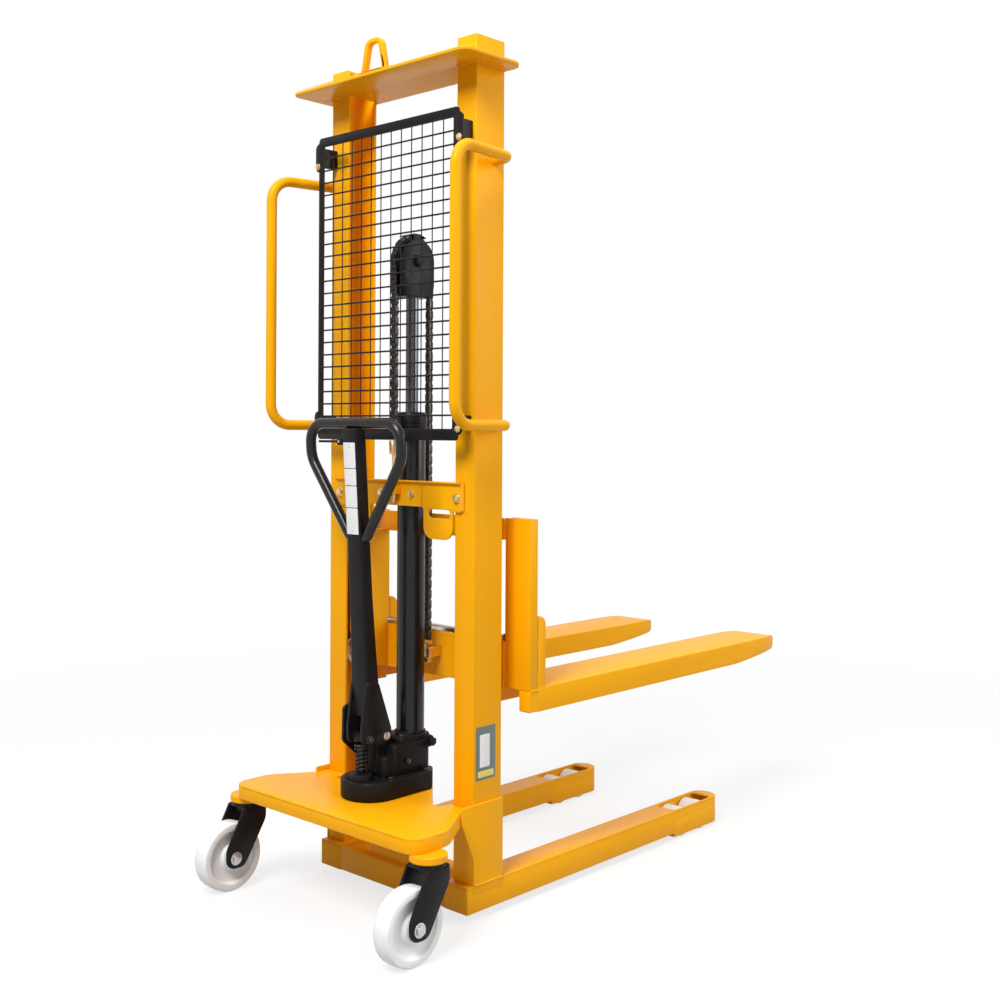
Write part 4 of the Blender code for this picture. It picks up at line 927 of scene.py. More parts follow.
@dataclass
class Chassis:
    """Deck, castor bosses, cross beam and pump support."""

    top: float = 0.249
    foot: float = 0.216
    half: float = 0.312
    rear: float = -0.240

    def deck(self) -> None:
        """Make the folded deck pan with its tongue and bosses."""
        right = [(self.half, self.rear, 0.036), (self.half, -0.138, 0.060), (POST_HALF, -0.040, 0.012),
                 (POST_HALF, -0.0004, 0.001), (0.182, -0.0004, 0.003), (0.170, -0.046, 0.008),
                 (0.066, 0.052, 0.006), (0.038, 0.0810, 0.012)]
        outline = right + [(-x, y, radius) for x, y, radius in reversed(right)]
        pan = plate("deck_sheet", [rounded(outline, 10)], self.top - 0.008, self.top, Axis.Z, 0.003)
        inner = rounded(inset(outline, 0.006), 10)
        skirt = plate("deck_skirt", [rounded(outline, 10), list(reversed(inner))], self.foot,
                      self.top - 0.003, Axis.Z, 0.0012)
        fit(joined("deck", [pan, skirt]), "chassis", YELLOW, "deck_plate")
        for name, side in SIDES:
            x = side * 0.311
            boss = turned(f"castor_boss_{name}",
                          [(0.0, 0.2157), (0.0385, 0.2157), (0.040, 0.2145), (0.040, 0.2030),
                           (0.0380, 0.2005), (0.0105, 0.2005), (0.0105, 0.2135), (0.0, 0.2135)],
                          (x, -0.198, 0), Axis.Z)
            fit(boss, "chassis", YELLOW)

    def beam(self) -> None:
        """Make the cross beam and the wall that carries the pump."""
        outer = rounded([(-0.020, 0.019, 0.004), (-0.020, 0.079, 0.007), (0.096, 0.079, 0.007),
                         (0.096, 0.019, 0.004), (0.090, 0.019, 0.001), (0.090, 0.073, 0.003),
                         (-0.014, 0.073, 0.003), (-0.014, 0.019, 0.001)], 5)
        web = plate("cross_beam", [outer], -0.1757, 0.1757, Axis.X, 0.0008)
        fit(web, "chassis", YELLOW, "chassis_beam")
        walls = rounded([(-0.082, -0.008, 0.006), (0.082, -0.008, 0.006), (0.082, 0.018, 0.001),
                         (0.076, 0.018, 0.001), (0.076, -0.002, 0.003), (-0.076, -0.002, 0.003),
                         (-0.076, 0.018, 0.001), (-0.082, 0.018, 0.001)], 5)
        fit(plate("pump_support", [walls], 0.0793, 0.2405, Axis.Z, 0.0008), "chassis", YELLOW)
        seam = bead("support_weld",
                    [(-0.083, 0.016, 0.0795), (-0.083, -0.009, 0.0795), (0.083, -0.009, 0.0795),
                     (0.083, 0.016, 0.0795)])
        fit(seam, "chassis", YELLOW)

    def build(self) -> None:
        """Make every piece of the chassis."""
        self.deck()
        self.beam()


@dataclass
class Leg:
    """A straddle leg with its side cheek, roller box and load rollers."""

    name: str
    side: int
    inner: float = 0.176
    outer: float = 0.251
    rear: float = -0.020
    tip: float = 0.990
    foot: float = 0.019
    top: float = 0.079
    wall: float = 0.006
    head: float = 0.220

    def outline(self, wall: float, start: float) -> list[Corner]:
        """The leg's plan less a wall, anticlockwise on either side."""
        low, high = span(self.side, self.inner + wall, self.outer - wall)
        radius = (high - low) / 2 * 0.97
        return [(low, start, 0.003), (high, start, 0.003), (high, self.tip - wall, radius),
                (low, self.tip - wall, radius)]

    def shell(self) -> None:
        """Make the leg's top, skirt, deeper roller box and cheek."""
        middle = self.side * (self.inner + self.outer) / 2
        opening = rounded([(middle - 0.0305, 0.776, 0.012), (middle - 0.0305, 0.954, 0.012),
                           (middle + 0.0305, 0.954, 0.012), (middle + 0.0305, 0.776, 0.012)], 6)
        lid = plate("lid", [rounded(self.outline(0, self.rear), 10), opening], self.top - self.wall, self.top,
                    Axis.Z, 0.0022)
        skirt = plate("skirt", [rounded(self.outline(0, self.rear), 10),
                                list(reversed(rounded(self.outline(self.wall, self.rear + self.wall), 10)))],
                      self.foot, self.top - 0.0022, Axis.Z, 0.0008)
        start = self.tip - self.head
        box = plate("box", [rounded(self.outline(-0.0004, start), 10),
                            list(reversed(rounded(self.outline(self.wall, start + self.wall), 10)))],
                    self.foot - 0.010, self.foot + 0.034, Axis.Z, 0.0012)
        fit(joined(f"leg_{self.name}", [lid, skirt, box]), "chassis", YELLOW, f"outrigger_leg_{self.name}")
        low, high = span(self.side, 0.2473, 0.2523)
        cheek = rounded([(-0.038, 0.259, 0.003), (-0.038, 0.224, 0.012), (0.0, 0.135, 0.020),
                         (-0.001, 0.062, 0.003), (0.093, 0.062, 0.003), (0.093, 0.259, 0.003)], 6)
        fit(plate(f"leg_cheek_{self.name}", [cheek], low, high, Axis.X, 0.0010), "chassis", YELLOW)
        x = self.side * 0.2527
        fit(bead(f"cheek_weld_{self.name}", [(x, 0.092, 0.080), (x, 0.002, 0.080)]), "chassis", YELLOW)
        fit(bead(f"cheek_seam_{self.name}",
                 [(x - self.side * 0.004, 0.0935, 0.258), (x - self.side * 0.004, 0.0935, 0.082)]), "chassis",
            YELLOW)

    def rollers(self) -> None:
        """Make the two nylon load rollers and their pins."""
        middle = self.side * (self.inner + self.outer) / 2
        for number, y in ((1, 0.822), (2, 0.908)):
            profile = [(0.0083, -0.028), (0.020, -0.028), (0.0212, -0.0265), (0.031, -0.0265),
                       (0.0322, -0.028), (0.0345, -0.028), (0.037, -0.0255), (0.037, 0.0255), (0.0345, 0.028),
                       (0.0322, 0.028), (0.031, 0.0265), (0.0212, 0.0265), (0.020, 0.028), (0.0083, 0.028)]
            roller = turned(f"leg_roller_{self.name}_{number}", profile, (middle, y, 0.037), Axis.X)
            fit(roller, f"load_roller_{self.name}_{number}", NYLON, f"load_roller_{self.name}_{number}")
            low, high = self.inner - 0.001, self.outer + 0.001
            pin = bar(f"leg_pin_{self.name}_{number}", 0.008, (self.side * low, y, 0.037),
                      (self.side * high, y, 0.037), 0.0012)
            fit(pin, "chassis", YELLOW, f"roller_pin_{self.name}_{number}")

    def build(self) -> None:
        """Make every piece of the leg."""
        self.shell()
        self.rollers()


@dataclass
class Castor:
    """A swivel castor: pressed fork, nylon wheel and axle bolt."""

    name: str
    side: int
    y: float = -0.198
    trail: float = 0.055
    radius: float = 0.080
    width: float = 0.046

    def build(self) -> None:
        """Make every piece of the castor."""
        x = self.side * 0.311
        axle = self.y - self.trail
        swivel = f"swivel_{self.name}"
        inner = self.width / 2 + 0.004
        outer = inner + 0.006
        arm = rounded([(self.y - 0.031, 0.194, 0.008), (axle - 0.025, 0.100, 0.030),
                       (axle - 0.0245, 0.056, 0.0235), (axle + 0.0245, 0.056, 0.0235),
                       (self.y + 0.031, 0.158, 0.040), (self.y + 0.031, 0.194, 0.008)], 10)
        arms = [plate("arm", [arm, circle((axle, self.radius), 0.0073)], low, high, Axis.X, 0.0014)
                for low, high in ((x - outer, x - inner), (x + inner, x + outer))]
        crown = block("crown", (x - outer, self.y - 0.0315, 0.186), (x + outer, self.y + 0.0315, 0.1942),
                      0.0035, 4)
        race = turned("race",
                      [(0.0, 0.1996), (0.034, 0.1996), (0.0362, 0.1982), (0.037, 0.1955), (0.037, 0.1925),
                       (0.0, 0.1925)], (x, self.y, 0), Axis.Z)
        lower = turned("lower_race",
                       [(0.0, 0.1865), (0.027, 0.1865), (0.027, 0.181), (0.023, 0.177), (0.0, 0.177)],
                       (x, self.y, 0), Axis.Z)
        pin = bar("kingpin", 0.010, (x, self.y, 0.195), (x, self.y, 0.213))
        fit(joined(f"castor_fork_{self.name}", [*arms, crown, race, lower, pin]), swivel, BLACK,
            f"caster_fork_{self.name}")
        half = self.width / 2
        tread = self.radius
        face = [(0.0076, half + 0.001), (0.0135, half + 0.001), (0.015, half - 0.0005),
                (0.024, half - 0.0012), (0.0285, half - 0.004), (0.032, half - 0.0105),
                (tread - 0.026, half - 0.012), (tread - 0.021, half - 0.009), (tread - 0.0175, half - 0.0015),
                (tread - 0.008, half), (tread - 0.0030, half - 0.0016), (tread - 0.0006, half - 0.0055)]
        profile = face + [(tread, 0.006), (tread, -0.006)] + [(r, -z) for r, z in reversed(face)]
        wheel = turned(f"castor_wheel_{self.name}", profile, (x, axle, self.radius), Axis.X, 72)
        fit(wheel, f"wheel_{self.name}", NYLON, f"caster_wheel_{self.name}")
        shaft = bar("shaft", 0.0070, (x - outer - 0.007, axle, self.radius),
                    (x + outer + 0.0065, axle, self.radius))
        heads = [bolt("head", 0.012, 0.0058, (x + way * (outer + SEAT_GAP), axle, self.radius), Axis.X, way)
                 for way in (-1, 1)]
        fit(joined(f"castor_bolt_{self.name}", [shaft, *heads]), swivel, PLATED, f"caster_bolt_{self.name}")


@dataclass
class Ram:
    """Lift cylinder, piston rod, crosshead, sheave and leaf chain."""

    y: float = RAM_Y
    sheave: float = 1.486
    inner: float = 0.050
    deep: float = 0.012

    def cylinder(self) -> None:
        """Make the cylinder tube, its gland nut and the rod."""
        centre = (0, self.y, 0)
        tube_ring = turned("ram_tube",
                           [(0.026, 0.3763), (0.033, 0.3763), (0.033, 1.0815), (0.0325, 1.0850),
                            (0.026, 1.0850)], centre, Axis.Z)
        fit(tube_ring, "chassis", GLOSS, "cylinder_tube")
        collar = turned("ram_gland",
                        [(0.0153, 1.0853), (0.0365, 1.0853), (0.037, 1.0860), (0.037, 1.098),
                         (0.0355, 1.0995), (0.0355, 1.1015), (0.037, 1.103), (0.037, 1.123), (0.033, 1.1290),
                         (0.0210, 1.130), (0.0192, 1.1285), (0.0153, 1.1285)], centre, Axis.Z)
        fit(collar, "chassis", BLACK, "cylinder_gland")
        foot_bead = [(0.0335 * cos(a), self.y + 0.0335 * sin(a),
                      0.3775) for a in angles(44)]
        fit(bead("ram_foot_weld", foot_bead, 0.0026), "chassis", BLACK)
        rod = turned("ram_rod",
                     [(0.0, 0.682), (0.0257, 0.682), (0.0257, 0.718), (0.015, 0.720), (0.015, 1.3985),
                      (0.0, 1.3985)], centre, Axis.Z, 40)
        fit(rod, "crosshead", CHROME, "piston_rod")

    def crosshead(self) -> None:
        """Make the crosshead's cheeks, sheave and pin."""
        foot = self.sheave - 0.086
        outer = self.inner + 0.0005
        cheek = rounded([(self.y - 0.044, foot, 0.008), (self.y + 0.044, foot, 0.008),
                         (self.y + outer, foot + 0.030, 0.020),
                         (self.y + outer, self.sheave + outer, outer - 0.001),
                         (self.y - outer, self.sheave + outer, outer - 0.001),
                         (self.y - outer, foot + 0.030, 0.020)], 12)
        cheeks = [plate("cheek", [cheek, circle((self.y, self.sheave), 0.0103)], low, high, Axis.X, 0.0012)
                  for low, high in ((-0.022, -0.0142), (0.0142, 0.022))]
        base = block("base", (-0.0205, self.y - 0.041, foot), (0.0205, self.y + 0.041, foot + 0.024), 0.003,
                     3)
        sweep = [radians(62 + 2.8 * i) for i in range(21)]
        hood = [[Vector((self.y + r * cos(a), self.sheave + r * sin(a))) for a in sweep] for r in (0.0645,
                                                                                                   0.0630)]
        keeper = plate("keeper", [hood[0] + list(reversed(hood[1]))], -0.0148, 0.0148, Axis.X, 0.0005)
        tabs = [block("tab", (low, self.y - 0.012, self.sheave + 0.046),
                      (high, self.y + 0.012, self.sheave + 0.0640), 0.0008) for low,
                high in ((-0.0170, -0.0143), (0.0143, 0.0170))]
        fit(joined("crosshead", [*cheeks, base, keeper, *tabs]), "crosshead", BLACK, "crosshead_housing")
        rim = self.inner - SEAT_GAP
        flange = self.inner + 0.008
        profile = [(0.0103, -0.012), (0.020, -0.012), (0.022, -0.0095), (0.038, -0.0095), (0.042, -0.012),
                   (flange - 0.001, -0.012), (flange, -0.011), (flange, -0.0095), (rim, -0.0086),
                   (rim, 0.0086), (flange, 0.0095), (flange, 0.011), (flange - 0.001, 0.012), (0.042, 0.012),
                   (0.038, 0.0095), (0.022, 0.0095), (0.020, 0.012), (0.0103, 0.012)]
        fit(turned("chain_wheel", profile, (0, self.y, self.sheave), Axis.X), "sheave", CAST, "chain_sheave")
        shaft = bar("shaft", 0.010, (-0.028, self.y, self.sheave), (0.024, self.y, self.sheave), 0.001)
        head = turned("head",
                      [(0.0, 0.0285), (0.012, 0.0285), (0.014, 0.0270), (0.014, 0.0223), (0.0, 0.0223)],
                      (0, self.y, self.sheave), Axis.X, 40)
        clip = turned("clip", [(0.0085, -0.0250), (0.0125, -0.0250), (0.0125, -0.0238), (0.0085, -0.0238)],
                      (0, self.y, self.sheave), Axis.X, 40)
        fit(joined("sheave_bolt", [shaft, head, clip]), "crosshead", BLACK, "sheave_pin")

    def link(self, outer: bool) -> bpy.types.Object:
        """One pitch of leaf chain standing on the origin along Z."""
        pitch = 0.0127
        waist = rounded(rectangle(-0.0058, -0.0058, 0.0058, pitch + 0.0058, 0.005), 2)
        layers = (-0.0066, -0.0022, 0.0022, 0.0066) if outer else (-0.0044, 0.0, 0.0044)
        leaves = [plate("leaf", [waist], x - 0.00085, x + 0.00085, Axis.X, 0.0002) for x in layers]
        pins = [bar("pin", 0.0022, (-0.0079, 0, z), (0.0079, 0, z), 0,
                    8) for z in ((0.0,) if outer else (0.0, pitch))]
        return joined("link", leaves + pins)

    def run(self, name: str, y: float, low: float, high: float) -> bpy.types.Object:
        """A straight run of chain between two heights."""
        pairs = max(round((high - low) / 0.0254), 1)
        pieces = []
        for outer in (True, False):
            unit = self.link(outer)
            unit.data.transform(Matrix.Translation((0, y, 0.0 if outer else 0.0127)))
            pieces.append(repeated(unit, pairs, Vector((0, 0, 0.0254))))
        made = joined(name, pieces)
        scale = (high - low - 0.0116) / (pairs * 0.0254 - 0.0001)
        made.data.transform(Matrix.Translation((0, 0, low + 0.0058)) @ Matrix.Scale(scale, 4, (0, 0, 1)))
        return made

    def chain(self) -> None:
        """Make the two straight runs, the turn over the sheave, and the rear anchor."""
        radius = self.inner + self.deep / 2
        rear = self.y - radius
        front = self.y + radius
        for name, y, low, first, second in (("rear", rear, 1.0633, "chassis", "crosshead"),
                                            ("front", front, 0.5833, "carriage", "crosshead")):
            stretch = Crossing(first, second, (0, y, low), (0, y, self.sheave))
            fit(self.run(f"leaf_chain_{name}", y, low, self.sheave), stretch, LEAF, f"chain_{name}")
        count = 14
        links = []
        for number in range(count):
            unit = self.link(number % 2 == 0)
            angle = pi * number / count
            turn = Matrix.Translation((0, self.y, self.sheave)) @ Matrix.Rotation(angle, 4, "X")
            lean = Matrix.Rotation(pi / count / 2, 4, "X")
            unit.data.transform(turn @ Matrix.Translation((0, radius, 0)) @ lean)
            links.append(unit)
        fit(joined("leaf_chain_turn", links), "crosshead", LEAF, "chain_over_sheave")
        stem = bar("stem", 0.005, (0, rear, 0.918), (0, rear, 1.036))
        thread = repeated(turned("thread", [(0.0046, 0), (0.0056, 0.0006), (0.0046, 0.0012)],
                                 (0, rear, 0.919), Axis.Z, 20), 60, Vector((0, 0, 0.0012)))
        nut = bolt("nut", 0.0073, 0.0105, (0, rear, 0.9377), Axis.Z, -1, False)
        fork = [block("jaw", (low, rear - 0.008, 1.034), (high, rear + 0.008, 1.0628), 0.0018)
                for low, high in ((-0.010, -0.006), (0.006, 0.010))]
        yoke = block("yoke", (-0.010, rear - 0.008, 1.030), (0.010, rear + 0.008, 1.038), 0.0018)
        fit(joined("rear_anchor", [stem, thread, nut, *fork, yoke]), "chassis", ZINC, "chain_anchor_rear")

    def build(self) -> None:
        """Make every piece of the ram."""
        self.cylinder()
        self.crosshead()
        self.chain()


@dataclass
class Carriage:
    """Roller plates, cross plates, uprights, guide rollers, chain anchor and forks."""

    foot: float = 0.494
    top: float = 0.885
    cross: float = 0.131
    half: float = 0.2165
    outer: float = 0.290
    inner: float = 0.213
    rear: float = 0.1393
    deep: float = 0.029

    def plates(self) -> None:
        """Make the two cross plates, the tie bar and the anchor."""
        for name, low, high in (("lower", self.foot, 0.601), ("upper", 0.835, self.top)):
            outline = rounded(rectangle(-self.half, low, self.half, high, 0.002), 4)
            piece = plate(f"cross_{name}", [outline], self.cross, self.cross + 0.008, Axis.Y, 0.0014)
            fit(piece, "carriage", YELLOW, f"{name}_cross_plate")
        rod = bar("tie_bar", 0.010, (-0.2095, self.cross + 0.0105, 0.607),
                  (0.2095, self.cross + 0.0105, 0.607), 0.001)
        fit(rod, "carriage", GROUND)
        y = 0.098
        block_piece = block("anchor_block", (-0.014, y - 0.009, 0.543), (0.014, self.cross - SEAT_GAP, 0.567),
                            0.002, 3)
        stem = bar("stem", 0.007, (0, y, 0.531), (0, y, 0.577), 0.001)
        jaws = [block("jaw", (low, y - 0.007, 0.569), (high, y + 0.007, 0.5828), 0.0016) for low, high in
                ((-0.010, -0.006), (0.006, 0.010))]
        yoke = block("yoke", (-0.010, y - 0.007, 0.568), (0.010, y + 0.007, 0.5745), 0.0016)
        nut = bolt("nut", 0.0105, 0.009, (0, y, 0.543), Axis.Z, -1)
        fit(joined("front_anchor", [block_piece, stem, *jaws, yoke, nut]), "carriage", ZINC,
            "chain_anchor_front")

    def roller_plate(self, name: str, side: int) -> None:
        """Make one roller plate with its stubs and guide rollers."""
        low, high = span(side, 0.176, 0.184)
        outline = rounded([(0.012, 0.498, 0.105), (self.cross - SEAT_GAP, 0.498, 0.002),
                           (self.cross - SEAT_GAP, 0.841, 0.002), (0.012, 0.841, 0.030)], 14)
        piece = plate("web", [outline], low, high, Axis.X, 0.0014)
        stubs = []
        for z in (0.545, 0.800):
            stubs.append(bar("stub", 0.012, (side * 0.180, GUIDE_Y, z), (side * 0.228, GUIDE_Y, z), 0.0012, 36))
            stubs.append(bar("shoulder", 0.020, (side * 0.180, GUIDE_Y, z), (side * 0.193, GUIDE_Y, z), 0.0012,
                             36))
        fit(joined(f"carriage_side_{name}", [piece, *stubs]), "carriage", YELLOW, f"roller_plate_{name}")
        seams = [[(side * 0.1855, self.cross - 0.001, z0), (side * 0.1855, self.cross - 0.001, z1)] for z0,
                 z1 in ((0.502, 0.598), (0.838, 0.841))]
        fit(bead(f"side_weld_{name}", seams[0]), "carriage", YELLOW)
        for level, z in (("low", 0.545), ("high", 0.800)):
            profile = [(0.0123, -0.014), (0.020, -0.014), (0.021, -0.0125), (0.030, -0.0125), (0.031, -0.014),
                       (0.0345, -0.014), (0.0365, -0.012), (0.0365, 0.012), (0.0345, 0.014), (0.031, 0.014),
                       (0.030, 0.0125), (0.021, 0.0125), (0.020, 0.014), (0.0123, 0.014)]
            roller = turned(f"mast_roller_{name}_{level}", profile, (side * 0.210, GUIDE_Y, z), Axis.X)
            fit(roller, f"guide_{name}_{level}", PLATED, f"guide_roller_{name}_{level}")
            fit(bolt(f"stub_bolt_{name}_{level}", 0.010, 0.007, (side * 0.176, GUIDE_Y, z), Axis.X, -side),
                "carriage", ZINC)

    def upright(self, name: str, side: int) -> None:
        """Make one upright, a channel open towards the middle."""
        front = self.rear + self.deep
        corners = [(self.outer, self.rear, 0.004), (self.outer, front, 0.004), (self.inner, front, 0.002),
                   (self.inner, front - 0.006, 0.002), (self.outer - 0.006, front - 0.006, 0.004),
                   (self.outer - 0.006, self.rear + 0.006, 0.004), (self.inner, self.rear + 0.006, 0.002),
                   (self.inner, self.rear, 0.002)]
        piece = plate("column", [mirrored(rounded(corners, 4), side)], self.foot, self.top, Axis.Z, 0.0010)
        low, high = span(side, self.inner + 0.001, self.outer - 0.0055)
        lid = block("lid", (low, self.rear + 0.0055, self.top - 0.008),
                    (high, front - 0.0055, self.top - 0.0015), 0.0008)
        fit(joined(f"upright_{name}", [piece, lid]), "carriage", YELLOW, f"fork_upright_{name}")
        x = side * self.half
        fit(bead(f"upright_weld_{name}", [(x, self.rear - 0.001, 0.505), (x, self.rear - 0.001, 0.597)]),
            "carriage", YELLOW)
        fit(bead(f"upright_seam_{name}", [(x, self.rear - 0.001, 0.840), (x, self.rear - 0.001, 0.880)]),
            "carriage", YELLOW)

    def fork(self, name: str, side: int) -> None:
        """Make one fork: a tapered inverted channel with its heel and lug."""
        root = self.rear + self.deep + SEAT_GAP
        low, high = span(side, 0.143, 0.290)
        tip, bottom, top, taper = 1.225, 0.444, 0.499, 0.210
        blade = rounded([(root, bottom, 0), (tip - taper, bottom, 0.55), (tip, bottom + 0.018, 0.014),
                         (tip, top - 0.002, 0.010), (tip - 0.040, top, 0.06), (root, top, 0)], 10)
        body = plate("blade", [blade], low, high, Axis.X, 0)
        middle = side * 0.2165
        for lean in (-1, 1):
            edge = middle + lean * 0.0735
            nose = [Vector((edge, tip - 0.16))]
            nose += [Vector((edge - lean * 0.014 * (step / 10) ** 3.2,
                             tip - 0.16 * (1 - step / 10))) for step in range(1, 11)]
            nose += [Vector((edge - lean * 0.030, tip + 0.03)), Vector((edge + lean * 0.03, tip + 0.03)),
                     Vector((edge + lean * 0.03, tip - 0.16))]
            body = carve(body, plate("corner", [nose], bottom - 0.05, top + 0.05, Axis.Z, 0))
        hollow_low, hollow_high = span(side, 0.149, 0.284)
        body = carve(body,
                     block("hollow", (hollow_low, root - 0.03, bottom - 0.03),
                           (hollow_high, tip - taper, top - 0.008), 0))
        body = soften(body, 0.0022, 3, 24)
        heel_low, heel_high = span(side, self.inner, self.outer - 0.0006)
        front = root + 0.028
        heel = plate("heel",
                     [rounded([(root, top - 0.004, 0.001), (front, top - 0.004, 0.001), (front, 0.662, 0.022),
                               (root, 0.662, 0.003)])], heel_low, heel_high, Axis.X, 0.0020)
        lug_low, lug_high = span(side, 0.258, self.outer - 0.0006)
        lug = plate("lug",
                    [rounded([(self.rear, bottom + 0.0006, 0.004), (front + 0.004, bottom + 0.0006, 0.002),
                              (front + 0.004, self.foot - SEAT_GAP, 0.002),
                              (self.rear, self.foot - SEAT_GAP, 0.004)])], lug_low, lug_high, Axis.X, 0.0020)
        fit(joined(f"fork_blade_{name}", [body, heel, lug]), "carriage", YELLOW, f"fork_{name}", angle=30)
        x0, x1 = heel_low + 0.002, heel_high - 0.002
        fit(bead(f"heel_weld_{name}", [(x0, front + 0.001, top), (x1, front + 0.001, top)], 0.0026),
            "carriage", YELLOW)
        edge = side * (self.outer + 0.0002)
        fit(bead(f"lug_weld_{name}",
                 [(edge - side * 0.001, self.rear + 0.003, self.foot),
                  (edge - side * 0.001, root, self.foot)]), "carriage", YELLOW)

    def build(self) -> None:
        """Make every piece of the carriage."""
        self.plates()
        for name, side in SIDES:
            self.roller_plate(name, side)
            self.upright(name, side)
            self.fork(name, side)


@dataclass
class Pump:
    """Cast hand pump with its plunger, spring, valve and release arm."""

    base: float = 0.2493
    pivot_y: float = -0.058
    pivot_z: float = 0.385
    plunger: float = -0.110

    def casting(self) -> None:
        """Make the pump's casting."""
        near = [(0.069, -0.149, 0.067), (0.069, 0.049, 0.012), (0.039, 0.0795, 0.014)]
        foot = plate("foot",
                     [rounded(near + [(-x, y, radius) for x, y, radius in reversed(near)], 14),
                      circle((0, self.plunger), 0.0290)], self.base, self.base + 0.043, Axis.Z, 0.004)
        tank = plate("tank",
                     [rounded([(-0.047, -0.050, 0.010), (0.047, -0.050, 0.010), (0.047, 0.070, 0.022),
                               (-0.047, 0.070, 0.022)])], self.base + 0.03, 0.362, Axis.Z, 0.005)
        step = plate("step",
                     [rounded([(-0.0445, -0.078, 0.012), (0.0445, -0.078, 0.012), (0.0445, -0.030, 0.002),
                               (-0.0445, -0.030, 0.002)])], self.base + 0.03, 0.3405, Axis.Z, 0.005)
        crown = plate("crown",
                      [rounded([(-0.0425, -0.026, 0.008), (0.0425, -0.026, 0.008), (0.0425, 0.0765, 0.022),
                                (-0.0425, 0.0765, 0.022)])], 0.350, 0.3745, Axis.Z, 0.004)
        seat = turned("seat",
                      [(0.0, self.base + 0.04), (0.041, self.base + 0.04), (0.041, 0.366), (0.038, 0.372),
                       (0.0345, 0.376), (0.0, 0.376)], (0, RAM_Y, 0), Axis.Z)
        barrel = turned("barrel",
                        [(0.0, self.base + 0.004), (0.0096, self.base + 0.004), (0.0096, 0.306),
                         (0.0215, 0.306), (0.026, 0.302), (0.026, 0.3015), (0.0295, self.base + 0.035),
                         (0.0295, self.base + 0.003), (0.0, self.base + 0.003)], (0, self.plunger, 0), Axis.Z)
        lug = plate("lug",
                    [rounded([(self.pivot_y - 0.026, 0.300, 0.004), (self.pivot_y + 0.026, 0.300, 0.004),
                              (self.pivot_y + 0.0185, self.pivot_z + 0.018, 0.0175),
                              (self.pivot_y - 0.0185, self.pivot_z + 0.018, 0.0175)], 12),
                     circle((self.pivot_y, self.pivot_z), 0.0073)], -0.0195, 0.0195, Axis.X, 0.0015)
        gland = turned("port",
                       [(0.0, -0.012), (0.0145, -0.012), (0.0145, 0.004), (0.012, 0.006), (0.0, 0.006)],
                       (0.045, 0.056, 0.358), Axis.X, 32)
        fit(joined("pump_casting", [foot, tank, step, crown, seat, barrel, lug, gland]), "chassis", CAST,
            "pump_block", angle=45)
        fit(bolt("valve_plug", 0.0108, 0.012, (0.0508, 0.056, 0.358), Axis.X, 1), "chassis", BLACK)
        fit(bolt("drain_plug", 0.0075, 0.006, (0.0450, -0.010, 0.322), Axis.X, 1), "chassis", LEAF)
        fit(bolt("fill_plug", 0.0075, 0.005, (0.026, -0.010, 0.3745), Axis.Z, 1), "chassis", LEAF)
        for name, side in SIDES:
            for row, y in (("front", 0.040), ("rear", -0.070)):
                fit(bolt(f"foot_bolt_{name}_{row}", 0.0075, 0.006, (side * 0.0565, y, self.base + 0.043),
                         Axis.Z, 1), "chassis", LEAF)

    def plunger_set(self) -> None:
        """Make the plunger, its cap and spring."""
        centre = (0, self.plunger, 0)
        cap = turned("pump_piston",
                     [(0.0, 0.297), (0.008, 0.296), (0.009, 0.298), (0.009, 0.3655), (0.0155, 0.3660),
                      (0.016, 0.3670), (0.016, 0.3708), (0.0148, 0.372), (0.0, 0.372)], centre, Axis.Z, 36)
        fit(cap, "plunger", BLUED, "pump_plunger")
        coils, steps, low, high = 6, 28, 0.3085, 0.3635
        route = [Vector((0.0142 * cos(2 * pi * i / steps), self.plunger + 0.0142 * sin(2 * pi * i / steps),
                         low + (high - low) * i / (coils * steps))) for i in range(coils * steps + 1)]
        stretch = Crossing("chassis", "plunger", (0, self.plunger, 0.3065), (0, self.plunger, 0.3655))
        fit(tube("return_spring", route, 0.0019, 10), stretch, BLUED, "pump_spring")

    def arm(self) -> None:
        """Make the valve's release arm."""
        y = self.pivot_y
        outline = rounded([(y - 0.012, 0.322, 0.0115), (y + 0.012, 0.322, 0.0115), (y + 0.012, 0.365, 0.012),
                           (y - 0.020, 0.462, 0.010), (y - 0.064, 0.452, 0.014), (y - 0.066, 0.372, 0.016)],
                          8)
        piece = plate("arm", [outline, circle((y, 0.335), 0.0063)], -0.0545, -0.0465, Axis.X, 0.0014)
        fit(joined("valve_arm", [piece]), "arm", BLACK, "release_arm")
        pin = bar("valve_arm_pin", 0.006, (-0.0575, y, 0.335), (-0.044, y, 0.335), 0.0008)
        fit(pin, "chassis", PLATED)

    def build(self) -> None:
        """Make every piece of the pump."""
        self.casting()
        self.plunger_set()
        self.arm()


